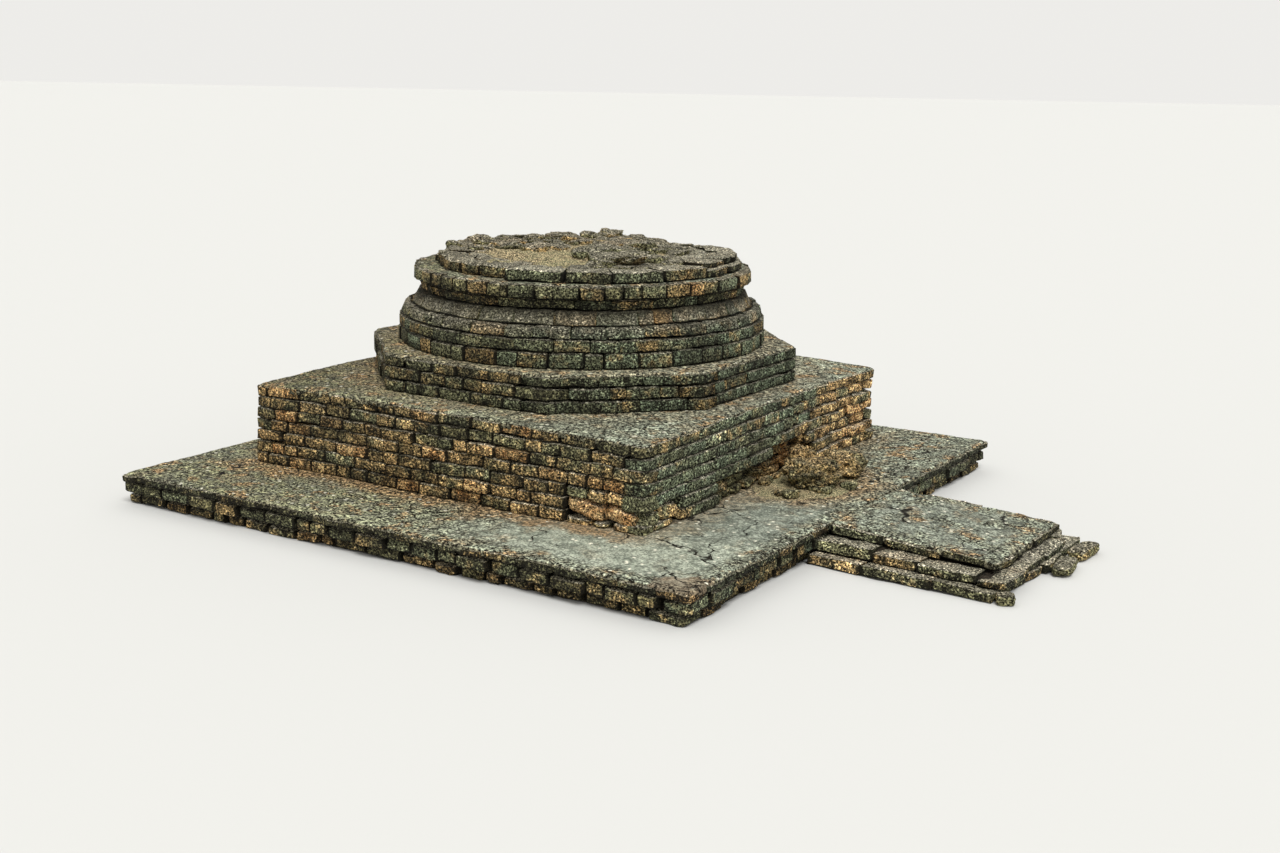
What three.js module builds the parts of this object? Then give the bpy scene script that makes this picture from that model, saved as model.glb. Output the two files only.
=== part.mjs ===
// Ruined base of a laterite stupa: a square platform with a stepped porch, a square plinth,
// an octagonal tier and the round mouldings that carried the bell, broken off above its rim.
// Millimetres, +Z up. The origin is on the axis of the round tiers, at ground level;
// +X points out over the porch.
import * as THREE from "three";
import { ConvexGeometry } from "three/addons/geometries/ConvexGeometry.js";
import { mergeVertices } from "three/addons/utils/BufferGeometryUtils.js";

// Square platform: three courses, the lower two set back under the paving
const PLATFORM = { length: 7220, width: 7310, centreX: 230, centreY: -325, corner: 40 };
const PLATFORM_FOOT = { height: 120, setBack: 60 };
const PLATFORM_MIDDLE = { height: 140, setBack: 40 };
const PLATFORM_PAVING = { height: 100, setBack: 0 };

// Square plinth: seven equal courses, its lower three robbed out over the porch
const PLINTH = { length: 5160, width: 5380, centreX: 30, centreY: -75, corner: 45 };
const PLINTH_COURSES = 7;
const PLINTH_COURSE_HEIGHT = 133;
const FACING_DEPTH = 300;
const POCKET_LOW = { from: -1300, to: 950, courses: 2 };
const POCKET_HIGH = { from: -100, to: 760 };

// Worn stones left in the robbed-out place: front edge in plan as [y, depth behind the face]
const WORN_STONES = [
  {
    name: "worn_stones_low",
    courses: [0, POCKET_LOW.courses],
    front: [
      [POCKET_LOW.from, 60], [-1040, 25], [-980, 95], [-700, 50], [-640, 120], [-330, 90],
      [-60, 190], [0, 120], [380, 160], [440, 90], [POCKET_LOW.to, 70],
    ],
  },
  {
    name: "worn_stones_high",
    courses: [POCKET_LOW.courses, POCKET_LOW.courses + 1],
    front: [[POCKET_HIGH.from, 110], [240, 70], [300, 130], [POCKET_HIGH.to, 90]],
  },
];

// Octagonal tier: three equal courses
const OCTAGON = { straightApothem: 2270, diagonalApothem: 2350 };
const OCTAGON_COURSES = 3;
const OCTAGON_COURSE_HEIGHT = 135;

// Round mouldings, bottom to top: height of each course and its outline as [radius, share of height]
const ROUND_COURSES = [
  { name: "round_base_course", height: 175, outline: [[2108, 0], [2108, 1]] },
  { name: "round_middle_course", height: 140, outline: [[2104, 0], [2100, 1]] },
  { name: "round_shoulder_course", height: 125, outline: [[2098, 0], [2076, 0.45], [2000, 1]] },
  { name: "sloping_course", height: 145, outline: [[1994, 0], [1836, 1]] },
  { name: "rim_lower_course", height: 117, outline: [[1832, 0], [1866, 0.5], [1898, 1]] },
  { name: "rim_upper_course", height: 158, outline: [[1906, 0], [1934, 0.45], [1932, 0.75], [1890, 1]] },
];
const ROUND_SEGMENTS = 56;
const CORNER_STEPS = 5;

// Broken course on top of the rim: slabs round a core of rubble and earth
const CAP_INNER_RADIUS = 1180;
const CAP_JOINT = 4;
const CAP_ARC_DIVISIONS = 9;
const CAP_SLABS = [
  { name: "cap_slab_front", fromDeg: -84, toDeg: -46, radius: 1800, height: 140 },
  { name: "cap_slab_front_right", fromDeg: -46, toDeg: -8, radius: 1845, height: 132 },
  { name: "cap_slab_right", fromDeg: -8, toDeg: 60, radius: 1840, height: 168 },
  { name: "cap_slab_back", fromDeg: 60, toDeg: 176, radius: 1750, height: 122 },
  { name: "cap_slab_left", fromDeg: 176, toDeg: 216, radius: 1700, height: 156 },
  { name: "cap_slab_front_left", fromDeg: 216, toDeg: 276, radius: 1690, height: 138 },
];
const CAP_CORE = { edgeHeight: 120, crownHeight: 168, crownRadius: 700 };

// Porch: three low courses in plan, their beds sinking from the platform to the outer end.
// Each bed is [height at the platform, height at the outer end].
const PORCH_INNER_X = PLATFORM.centreX + PLATFORM.length / 2;
const PORCH_REACH = 1820;
const PORCH_BEDS = [[0, 0], [112, 95], [245, 170], [352, 262]];
const PORCH_COURSES = [
  {
    name: "porch_foot_course",
    setBack: PLATFORM_FOOT.setBack,
    nearY: -1560,
    farY: 700,
    outer: [[5630, -1690], [5740, -1490], [5850, -520], [5850, 600], [5700, 690]],
  },
  {
    name: "porch_middle_course",
    setBack: PLATFORM_MIDDLE.setBack,
    nearY: -1440,
    farY: 600,
    outer: [[5740, -1560], [5795, -1500], [5780, 225], [5640, 560]],
  },
  {
    name: "porch_paving_course",
    setBack: PLATFORM_PAVING.setBack,
    nearY: -1180,
    farY: 500,
    outer: [[5590, -1290], [5640, -1240], [5640, 520], [5600, 560]],
  },
];

// Loose stones: centre of the foot, size and turn of each
const PORCH_STONES = [
  { name: "porch_corner_stone", at: [5835, -1610, 0], size: [170, 190, 105], turnDeg: 20 },
  { name: "porch_end_stone_near", at: [5969, -290, 0], size: [200, 500, 108], turnDeg: 8 },
  { name: "porch_end_stone_far", at: [5966.6, 330, 0], size: [210, 480, 118], turnDeg: -6 },
];
const FALLEN_BLOCKS = [
  { name: "fallen_block_large", at: [3110, -70, 360], size: [500, 570, 310], turnDeg: -10 },
  { name: "fallen_block_middle", at: [3130, 540, 360], size: [430, 520, 300], turnDeg: -10 },
  { name: "fallen_block_upright", at: [2730, 310, 360], size: [270, 380, 330], turnDeg: 6 },
];
const CAP_STONES = [
  { name: "loose_cap_stone_back_left", at: [-1400, 640, 122], size: [390, 300, 64], turnDeg: 65 },
  { name: "loose_cap_stone_back", at: [-1060, 1080, 122], size: [420, 300, 82], turnDeg: 44 },
  { name: "loose_cap_stone_back_right", at: [-570, 1410, 122], size: [340, 320, 124], turnDeg: 22 },
  { name: "loose_cap_stone_front", at: [1110, -725, 132], size: [330, 260, 106], turnDeg: 56 },
];

// Gap kept between pieces whose faces slope or turn
const SEAT_GAP = 0.3;

const laterite = new THREE.MeshStandardMaterial({ color: 0x5d4b38, roughness: 0.95, metalness: 0 });
const weatheredPaving = new THREE.MeshStandardMaterial({ color: 0x59564c, roughness: 0.9, metalness: 0 });
const earthFill = new THREE.MeshStandardMaterial({ color: 0x7a6c50, roughness: 1, metalness: 0 });
const freshLaterite = new THREE.MeshStandardMaterial({ color: 0x7d5232, roughness: 0.95, metalness: 0 });

const stupa = new THREE.Group();

function addMesh(name, geometry, material, x = 0, y = 0, z = 0) {
  const mesh = new THREE.Mesh(geometry, material);
  mesh.name = name;
  mesh.position.set(x, y, z);
  stupa.add(mesh);
  return mesh;
}

// Plan rectangle; its corners are rounded by the radii given, counter-clockwise from the lowest
function plateShape([x0, x1], [y0, y1], radii) {
  const corners = [[x0, y0, 1, 1], [x1, y0, -1, 1], [x1, y1, -1, -1], [x0, y1, 1, -1]];
  const outline = corners.flatMap(([x, y, inX, inY], i) => {
    const radius = radii[i];
    const steps = radius > 0 ? CORNER_STEPS : 0;
    return Array.from({ length: steps + 1 }, (_, k) => {
      const angle = (Math.PI / 2) * (i + 2 + k / CORNER_STEPS);
      const arcX = x + radius * (inX + Math.cos(angle));
      const arcY = y + radius * (inY + Math.sin(angle));
      return new THREE.Vector2(arcX, arcY);
    });
  });
  return new THREE.Shape(outline);
}

function extruded(shape, height, curveSegments = 4) {
  return new THREE.ExtrudeGeometry(shape, { depth: height, bevelEnabled: false, curveSegments });
}

function plate(name, x, y, [z0, z1], radii, material) {
  addMesh(name, extruded(plateShape(x, y, radii), z1 - z0), material, 0, 0, z0);
}

// Square platform
function buildPlatform() {
  const courses = [
    ["platform_foot_course", PLATFORM_FOOT, laterite],
    ["platform_middle_course", PLATFORM_MIDDLE, laterite],
    ["platform_paving_course", PLATFORM_PAVING, weatheredPaving],
  ];
  const radii = Array(4).fill(PLATFORM.corner);
  let z = 0;
  for (const [name, course, material] of courses) {
    const halfX = PLATFORM.length / 2 - course.setBack;
    const halfY = PLATFORM.width / 2 - course.setBack;
    const x = [PLATFORM.centreX - halfX, PLATFORM.centreX + halfX];
    const y = [PLATFORM.centreY - halfY, PLATFORM.centreY + halfY];
    plate(name, x, y, [z, z + course.height], radii, material);
    z += course.height;
  }
  return z;
}

// Square plinth: behind the robbed-out place, the lower courses are a core with facing at both ends
function buildPlinth(base) {
  const innerX = PLINTH.centreX - PLINTH.length / 2;
  const outerX = PLINTH.centreX + PLINTH.length / 2;
  const nearY = PLINTH.centreY - PLINTH.width / 2;
  const farY = PLINTH.centreY + PLINTH.width / 2;
  const coreX = outerX - FACING_DEPTH;
  const round = PLINTH.corner;
  const robbed = POCKET_LOW.courses + 1;
  const bed = (course) => base + course * PLINTH_COURSE_HEIGHT;
  for (let i = 0; i < PLINTH_COURSES; i++) {
    const cut = i < robbed;
    const material = i === PLINTH_COURSES - 1 ? weatheredPaving : laterite;
    const radii = cut ? [round, 0, 0, round] : Array(4).fill(round);
    const length = [innerX, cut ? coreX : outerX];
    plate(`plinth_course_${i + 1}`, length, [nearY, farY], [bed(i), bed(i + 1)], radii, material);
  }
  const x = [coreX, outerX];
  const low = [bed(0), bed(POCKET_LOW.courses)];
  const high = [low[1], bed(robbed)];
  plate("facing_low_near", x, [nearY, POCKET_LOW.from], low, [0, round, 0, 0], laterite);
  plate("facing_low_far", x, [POCKET_LOW.to, farY], low, [0, 0, round, 0], freshLaterite);
  plate("facing_high_near", x, [nearY, POCKET_HIGH.from], high, [0, round, 0, 0], laterite);
  plate("facing_high_far", x, [POCKET_HIGH.to, farY], high, [0, 0, round, 0], freshLaterite);
  for (const { name, courses, front } of WORN_STONES) {
    const ends = [front[0][0] + SEAT_GAP, front[front.length - 1][0] - SEAT_GAP];
    const edge = front.map(([y, depth]) => [outerX - depth, THREE.MathUtils.clamp(y, ...ends)]);
    const outline = [[coreX, ends[0]], ...edge, [coreX, ends[1]]];
    const shape = new THREE.Shape(outline.map(([px, py]) => new THREE.Vector2(px, py)));
    const [from, to] = courses.map(bed);
    addMesh(name, extruded(shape, to - from), freshLaterite, 0, 0, from);
  }
  return bed(PLINTH_COURSES);
}

// Octagonal tier
function octagonShape() {
  const flat = OCTAGON.straightApothem;
  const half = OCTAGON.diagonalApothem * Math.SQRT2 - flat;
  const corners = [[flat, -half], [flat, half], [half, flat], [-half, flat]];
  const opposite = corners.map(([x, y]) => [-x, -y]);
  return new THREE.Shape([...corners, ...opposite].map(([x, y]) => new THREE.Vector2(x, y)));
}

function buildOctagon(base) {
  for (let i = 0; i < OCTAGON_COURSES; i++) {
    const geometry = extruded(octagonShape(), OCTAGON_COURSE_HEIGHT);
    addMesh(`octagon_course_${i + 1}`, geometry, laterite, 0, 0, base + i * OCTAGON_COURSE_HEIGHT);
  }
  return base + OCTAGON_COURSES * OCTAGON_COURSE_HEIGHT;
}

// Round mouldings, turned about the axis
function turned(outline, height) {
  const points = [[0, 0], ...outline, [0, 1]].map(([r, share]) => new THREE.Vector2(r, share * height));
  return new THREE.LatheGeometry(points, ROUND_SEGMENTS).rotateX(Math.PI / 2);
}

function buildRoundMouldings(base) {
  let z = base;
  for (const course of ROUND_COURSES) {
    addMesh(course.name, turned(course.outline, course.height), laterite, 0, 0, z);
    z += course.height;
  }
  return z;
}

// One slab of the broken course: a sector of a ring, narrowed at each side by half a joint
function capSlabShape(slab) {
  const trim = (radius) => CAP_JOINT / 2 / radius;
  const from = THREE.MathUtils.degToRad(slab.fromDeg);
  const to = THREE.MathUtils.degToRad(slab.toDeg);
  const inner = CAP_INNER_RADIUS + CAP_JOINT;
  const shape = new THREE.Shape();
  shape.absarc(0, 0, slab.radius, from + trim(slab.radius), to - trim(slab.radius), false);
  shape.absarc(0, 0, inner, to - trim(inner), from + trim(inner), true);
  return shape;
}

function buildCap(base) {
  for (const slab of CAP_SLABS) {
    const geometry = extruded(capSlabShape(slab), slab.height, CAP_ARC_DIVISIONS);
    addMesh(slab.name, geometry, weatheredPaving, 0, 0, base);
  }
  const outline = [
    [CAP_INNER_RADIUS, 0],
    [CAP_INNER_RADIUS, CAP_CORE.edgeHeight / CAP_CORE.crownHeight],
    [CAP_CORE.crownRadius, 1],
  ];
  addMesh("cap_rubble_core", turned(outline, CAP_CORE.crownHeight), earthFill, 0, 0, base);
}

// Porch courses: each fills its plan outline between two sloping beds
function buildPorch() {
  const bedHeight = ([atPlatform, atEnd], x) =>
    atPlatform + ((atEnd - atPlatform) * (x - PORCH_INNER_X)) / PORCH_REACH;
  PORCH_COURSES.forEach((course, i) => {
    const inner = PORCH_INNER_X - course.setBack + SEAT_GAP;
    const lift = i > 0 ? SEAT_GAP : 0;
    const plan = [[inner, course.nearY], ...course.outer, [inner, course.farY]];
    const corners = plan.flatMap(([x, y]) => [
      new THREE.Vector3(x, y, bedHeight(PORCH_BEDS[i], x) + lift),
      new THREE.Vector3(x, y, bedHeight(PORCH_BEDS[i + 1], x)),
    ]);
    addMesh(course.name, new ConvexGeometry(corners), laterite);
  });
}

// A weathered block: a blunted, slightly uneven box standing flat on its foot
function stoneGeometry([length, width, height], seed) {
  const geometry = new THREE.BoxGeometry(1, 1, 1, 4, 4, 3);
  geometry.deleteAttribute("normal");
  geometry.deleteAttribute("uv");
  const blunt = 5;
  const unevenness = 0.07;
  const place = geometry.getAttribute("position");
  const point = new THREE.Vector3();
  for (let i = 0; i < place.count; i++) {
    point.fromBufferAttribute(place, i).multiplyScalar(2);
    const roundness = Math.pow(
      Math.abs(point.x) ** blunt + Math.abs(point.y) ** blunt + Math.abs(point.z) ** blunt,
      1 / blunt,
    );
    const across = Math.sin(3.1 * point.x + seed) * Math.cos(2.7 * point.y - 2 * seed);
    const wave = across * Math.sin(2.3 * point.z + 3 * seed);
    point.multiplyScalar((1 + unevenness * wave) / Math.max(roundness, 1));
    place.setXYZ(
      i,
      (point.x * length) / 2,
      (point.y * width) / 2,
      Math.max(0, ((point.z + 0.8) * height) / 1.8),
    );
  }
  return mergeVertices(geometry, 1e-3);
}

function buildStones(stones, material, lift = 0) {
  stones.forEach((stone, i) => {
    const [x, y, z] = stone.at;
    const mesh = addMesh(stone.name, stoneGeometry(stone.size, i + 1), material, x, y, z + lift);
    mesh.rotation.z = THREE.MathUtils.degToRad(stone.turnDeg);
  });
}

const platformTop = buildPlatform();
const plinthTop = buildPlinth(platformTop);
const octagonTop = buildOctagon(plinthTop);
const rimTop = buildRoundMouldings(octagonTop);
buildCap(rimTop);
buildPorch();
buildStones(PORCH_STONES, laterite);
buildStones(FALLEN_BLOCKS, freshLaterite);
buildStones(CAP_STONES, weatheredPaving, rimTop);

export default stupa;
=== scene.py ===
# Looks of the ruined stupa base: every course laid block by block in weathered laterite,
# crusted upper surfaces, the earth and rubble on top, and the fallen stones.
# Metres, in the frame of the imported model: origin on the axis at ground level, +X over the porch.
import math
import random

import bmesh
import bpy
import numpy as np
from mathutils import Matrix, Vector, noise


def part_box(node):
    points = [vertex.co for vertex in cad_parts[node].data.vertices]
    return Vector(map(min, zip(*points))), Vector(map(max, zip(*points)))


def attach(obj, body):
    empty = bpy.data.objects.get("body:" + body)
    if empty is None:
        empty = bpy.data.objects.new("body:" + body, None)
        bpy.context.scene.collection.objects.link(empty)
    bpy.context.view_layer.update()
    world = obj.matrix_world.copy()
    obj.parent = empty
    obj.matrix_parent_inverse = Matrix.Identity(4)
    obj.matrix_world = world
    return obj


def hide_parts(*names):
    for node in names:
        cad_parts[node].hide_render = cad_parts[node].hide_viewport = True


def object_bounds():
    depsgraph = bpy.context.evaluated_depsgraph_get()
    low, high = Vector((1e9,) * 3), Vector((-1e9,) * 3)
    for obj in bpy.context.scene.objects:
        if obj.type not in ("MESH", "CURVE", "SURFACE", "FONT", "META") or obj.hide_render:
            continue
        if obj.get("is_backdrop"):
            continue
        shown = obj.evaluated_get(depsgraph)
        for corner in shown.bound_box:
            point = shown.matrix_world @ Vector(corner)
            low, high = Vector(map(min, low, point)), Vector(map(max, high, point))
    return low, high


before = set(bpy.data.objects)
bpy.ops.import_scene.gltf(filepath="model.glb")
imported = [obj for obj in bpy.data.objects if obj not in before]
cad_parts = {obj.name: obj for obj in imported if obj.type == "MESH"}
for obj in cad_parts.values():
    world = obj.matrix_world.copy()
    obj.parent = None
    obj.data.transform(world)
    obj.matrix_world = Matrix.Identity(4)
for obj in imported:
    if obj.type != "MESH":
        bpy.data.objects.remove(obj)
cad_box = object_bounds()

TURN = 2 * math.pi

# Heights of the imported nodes
TOP = {name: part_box(name)[1][2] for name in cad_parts}
BOTTOM = {name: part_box(name)[0][2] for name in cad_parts}
PAVING_LOW, PAVING_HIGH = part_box("platform_paving_course")
PAVING_TOP = PAVING_HIGH[2]
PLINTH_LOW, PLINTH_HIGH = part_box("plinth_course_7")
PLINTH_CENTRE = [(PLINTH_LOW[i] + PLINTH_HIGH[i]) / 2 for i in range(2)]
PLINTH_HALF = [(PLINTH_HIGH[i] - PLINTH_LOW[i]) / 2 for i in range(2)]
# How far the corners of the plinth's top have sunk
PLINTH_SAG = 0.050


def settled(x, y, z):
    """How far the old masonry stands above or below its level bed at a place."""
    wave = noise.noise((x * 0.5, y * 0.5, 0.3)) * 0.016 + noise.noise((x * 1.7, y * 1.7, 5.1)) * 0.006
    drop = 0.0
    if z > PAVING_TOP + 0.01:
        rise = (z - PAVING_TOP) / (PLINTH_HIGH[2] - PAVING_TOP)
        across = (x - PLINTH_CENTRE[0]) / PLINTH_HALF[0] * (y - PLINTH_CENTRE[1]) / PLINTH_HALF[1]
        drop = PLINTH_SAG * min(1.0, rise) * min(1.0, across * across)
    return wave * min(1.0, z / 0.4) - drop


# Node trees

class Wire:
    """A socket. An expression on wires adds its maths nodes to their tree."""

    def __init__(self, net, socket):
        self.net = net
        self.socket = socket

    def of(self, name):
        """Another output of the same node."""
        return Wire(self.net, self.socket.node.outputs[name])

    def __add__(self, other):
        return self.net.maths("ADD", self, other)

    def __sub__(self, other):
        return self.net.maths("SUBTRACT", self, other)

    def __rsub__(self, other):
        return self.net.maths("SUBTRACT", other, self)

    def __mul__(self, other):
        return self.net.maths("MULTIPLY", self, other)

    def __rmul__(self, other):
        return self.net.maths("MULTIPLY", other, self)

    def __truediv__(self, other):
        return self.net.maths("DIVIDE", self, other)

    @property
    def is_vector(self):
        return self.socket.type == "VECTOR"


def is_vector(term):
    return isinstance(term, tuple) or (isinstance(term, Wire) and term.is_vector)


class Net:
    """Adds nodes to one tree."""

    def __init__(self, tree):
        self.tree = tree

    def add(self, kind, settings=None, out=0, **values):
        """Adds a node and returns one of its outputs. Inputs go by number, as i0 and so on, or by
        their labels, with underscores for spaces."""
        node = self.tree.nodes.new(kind)
        for key, value in (settings or {}).items():
            setattr(node, key, value)
        for key, value in values.items():
            index = int(key[1:]) if key[0] == "i" and key[1:].isdigit() else key.replace("_", " ")
            self.join(node.inputs[index], value)
        return Wire(self, node.outputs[out]) if node.outputs else node

    def join(self, socket, value):
        if isinstance(value, Wire):
            self.tree.links.new(value.socket, socket)
        else:
            socket.default_value = value

    def maths(self, operation, *terms):
        """Adds a maths node for numbers, or one for vectors if any of the terms is a vector."""
        if not any(is_vector(term) for term in terms):
            return self.add("ShaderNodeMath", {"operation": operation},
                            **{f"i{k}": term for k, term in enumerate(terms)})
        numbers = [term for term in terms if not is_vector(term)]
        if operation == "MULTIPLY" and numbers:
            vector = next(term for term in terms if is_vector(term))
            return self.add("ShaderNodeVectorMath", {"operation": "SCALE"}, i0=vector, Scale=numbers[0])
        return self.add("ShaderNodeVectorMath", {"operation": operation},
                        **{f"i{k}": term for k, term in enumerate(terms)})

    def least(self, a, b):
        return self.maths("MINIMUM", a, b)

    def most(self, a, b):
        return self.maths("MAXIMUM", a, b)

    def unit(self, vector):
        return self.maths("NORMALIZE", vector)

    def length(self, vector):
        return self.add("ShaderNodeVectorMath", {"operation": "LENGTH"}, "Value", i0=vector)

    def parts(self, vector):
        split = self.add("ShaderNodeSeparateXYZ", i0=vector)
        return split.of("X"), split.of("Y"), split.of("Z")

    def vector(self, x, y, z):
        return self.add("ShaderNodeCombineXYZ", X=x, Y=y, Z=z)

    def ramp(self, value, low, high, to_low=0.0, to_high=1.0):
        """A smooth step of a value between two limits."""
        return self.add("ShaderNodeMapRange", {"interpolation_type": "SMOOTHSTEP"},
                        Value=value, i1=low, i2=high, i3=to_low, i4=to_high)

    def noise(self, place, scale, detail=3.0, roughness=0.55):
        return self.add("ShaderNodeTexNoise", Vector=place, Scale=scale, Detail=detail, Roughness=roughness)

    def blend(self, share, a, b, how="MIX"):
        """Mixes two colours."""
        mix = self.tree.nodes.new("ShaderNodeMix")
        mix.data_type = "RGBA"
        mix.blend_type = how
        self.join(mix.inputs[0], share)
        for index, colour in ((6, a), (7, b)):
            self.join(mix.inputs[index], colour if isinstance(colour, Wire) else (*colour, 1.0))
        return Wire(self, mix.outputs[2])

    def tint(self, share, colour, factor):
        """Multiplies a colour by a factor, as far as the share goes."""
        return self.blend(share, colour, factor, "MULTIPLY")

    def attribute(self, name):
        """An attribute of the mesh, in a material."""
        return self.add("ShaderNodeAttribute", {"attribute_name": name}, "Fac")

    def named(self, name, kind="FLOAT"):
        """An attribute of the mesh, in geometry nodes."""
        return self.add("GeometryNodeInputNamedAttribute", {"data_type": kind}, "Attribute", Name=name)

    def keep(self, geometry, name, value, kind="FLOAT_VECTOR"):
        """Stores a value on the points of a geometry."""
        return self.add("GeometryNodeStoreNamedAttribute", {"data_type": kind, "domain": "POINT"},
                        Geometry=geometry, Name=name, Value=value)


# Masonry: a bed of points, one for each block, and the tree that makes the blocks

# What a block's colour goes by
TONES = ("seed", "warm", "damp", "grime")


class Courses:
    """The blocks of one piece, as rows of place, size and finish."""

    FIELDS = {"size": 3, "soft": 3, "mitre": 3, "free": 3, "tip": 3, "yaw": 1, "curve": 1, "lean": 1,
              "belly": 1, "apart": 1, "warm": 1, "damp": 1, "grime": 1, "seed": 1}

    def __init__(self, seed):
        self.rng = random.Random(seed)
        self.rows = []

    def block(self, place, yaw, size, look, curve=0.0, lean=0.0, belly=0.0, mitre=(0, 0, 0), free=(0, 0, 0),
              pitch=0.0):
        """look holds soft, tight, apart and uneven, with the tone of this block.
        free marks the start and end of a block that stand at an outer corner."""
        rng = self.rng
        uneven = look["uneven"]
        x, y, z = place
        soft = look["soft"] * rng.uniform(0.8, 1.3)
        self.rows.append({
            "place": (x, y, z + settled(x, y, z)), "size": size,
            "soft": (soft * look["tight"], soft, soft), "mitre": mitre, "free": free,
            "tip": (rng.gauss(0, 0.022) * uneven, pitch + rng.gauss(0, 0.008) * uneven, 0),
            "yaw": yaw + rng.gauss(0, 0.010) * uneven, "curve": curve, "lean": lean,
            "belly": belly + rng.uniform(-0.002, 0.007), "apart": look["apart"],
            "warm": look["warm"], "damp": look["damp"], "grime": look["grime"], "seed": rng.random(),
        })

    def points(self, name):
        mesh = bpy.data.meshes.new(name)
        mesh.from_pydata([row["place"] for row in self.rows], [], [])
        for field, width in self.FIELDS.items():
            kind = "FLOAT_VECTOR" if width == 3 else "FLOAT"
            layer = mesh.attributes.new(field, kind, "POINT")
            values = np.array([row[field] for row in self.rows], dtype=np.float32).ravel()
            layer.data.foreach_set("vector" if width == 3 else "value", values)
        piece = bpy.data.objects.new(name, mesh)
        bpy.context.scene.collection.objects.link(piece)
        return piece


def empty_masonry_tree():
    """The tree's inputs and output, before it has any nodes."""
    tree = bpy.data.node_groups.new("laid laterite blocks", "GeometryNodeTree")
    sockets = tree.interface
    sockets.new_socket("Points", in_out="INPUT", socket_type="NodeSocketGeometry")
    for label, default in (("Unevenness", 0.02), ("Corner radius", 0.06), ("Half length", 50.0),
                           ("Half width", 50.0), ("Seed", 0.0)):
        sockets.new_socket(label, in_out="INPUT", socket_type="NodeSocketFloat").default_value = default
    sockets.new_socket("Centre", in_out="INPUT", socket_type="NodeSocketVector")
    sockets.new_socket("Stone", in_out="INPUT", socket_type="NodeSocketMaterial")
    sockets.new_socket("Blocks", in_out="OUTPUT", socket_type="NodeSocketGeometry")
    return tree


def gathered(net, cell):
    """The cube's rows of points, gathered towards its edges and its outer face. The middle row moves
    by 0.36 of the depth, and the rows between the beds come to lie a tenth of the height from them."""
    x, y, z = cell
    return net.maths("SINE", x * math.pi) * 0.5, y - 0.36 * (1.0 - 4.0 * y * y), z * (2.575 - 6.3 * z * z)


def rounded_box(net, spread, size):
    """The skin of a block whose edges are rounded by the radii in soft."""
    soft = net.named("soft", "FLOAT_VECTOR")
    flat = net.vector(*spread) * size
    core = net.most(size * 0.5 - soft, (0.001, 0.001, 0.001))
    nearest = net.most(core * -1.0, net.least(flat, core))
    return nearest + net.unit((flat - nearest) / soft) * soft


def lumpy(net, place, centre, given):
    """Broad lumps and small chips, which run on from block to block where they aren't apart."""
    drift = given.of("Seed") + net.named("seed") * 40 * net.named("apart")
    where = place + centre + net.vector(drift, drift, 0.0)
    for scale, depth in ((5.0, 2.6), (21.0, 1.9)):
        wave = net.noise(where, scale, 2.0).of("Color") - (0.5, 0.5, 0.5)
        place = place + wave * (given.of("Unevenness") * depth)
    return place


def laid(net, place, cell, size):
    """A block with the profile of its face, its mitred ends, its bend and its tip."""
    x, y, z = net.parts(place)
    cell_x, _, cell_z = cell
    depth = net.parts(size)[1]
    inside = net.most(y + depth * 0.5, 0.0)
    front = net.most(1.0 - inside / depth, 0.0)
    height = cell_z * 2
    y = y - (net.named("lean") * cell_z + net.named("belly") * (1.0 - height * height)) * front
    start, end, _ = net.parts(net.named("mitre", "FLOAT_VECTOR"))
    x = x + inside * (end * (cell_x + 0.5) - start * (0.5 - cell_x))
    bend = net.named("curve")
    turned = net.vector(x * (1.0 - bend * y), y + bend * x * x * 0.5, z)
    roll, pitch, _ = net.parts(net.named("tip", "FLOAT_VECTOR"))
    for axis, angle in (("X_AXIS", roll), ("Y_AXIS", pitch), ("Z_AXIS", net.named("yaw"))):
        turned = net.add("ShaderNodeVectorRotate", {"rotation_type": axis}, Vector=turned, Angle=angle)
    return turned


def rounded_plan(net, place, given):
    """Rounds the corners of the whole course in plan, and keeps it above the ground."""
    centre = given.of("Centre")
    x, y, up = net.parts(place - centre)
    radius = given.of("Corner radius")
    held, off = [], []
    for value, half in ((x, "Half length"), (y, "Half width")):
        reach = given.of(half) - radius
        held.append(net.most(net.least(value, reach), reach * -1.0))
        off.append(value - held[-1])
    far = net.most(net.maths("ABSOLUTE", off[0]), net.maths("ABSOLUTE", off[1]))
    round_x, round_y, _ = net.parts(net.unit(net.vector(*off, 0.0)) * far)
    return net.vector(held[0] + round_x, held[1] + round_y, net.most(up, 0.001)) + centre


def from_joint(net, spread, size):
    """Distance from the nearest joint. The joints between merged blocks count as further away."""
    length, _, height = net.parts(size)
    free_start, free_end, _ = net.parts(net.named("free", "FLOAT_VECTOR"))
    from_start = (spread[0] + 0.5) * length + free_start
    from_end = (0.5 - spread[0]) * length + free_end
    hidden = (1.0 - net.named("apart")) * 0.022
    from_bed = (0.5 - net.maths("ABSOLUTE", spread[2])) * height
    return net.least(net.least(from_start, from_end) + hidden, from_bed)


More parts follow.
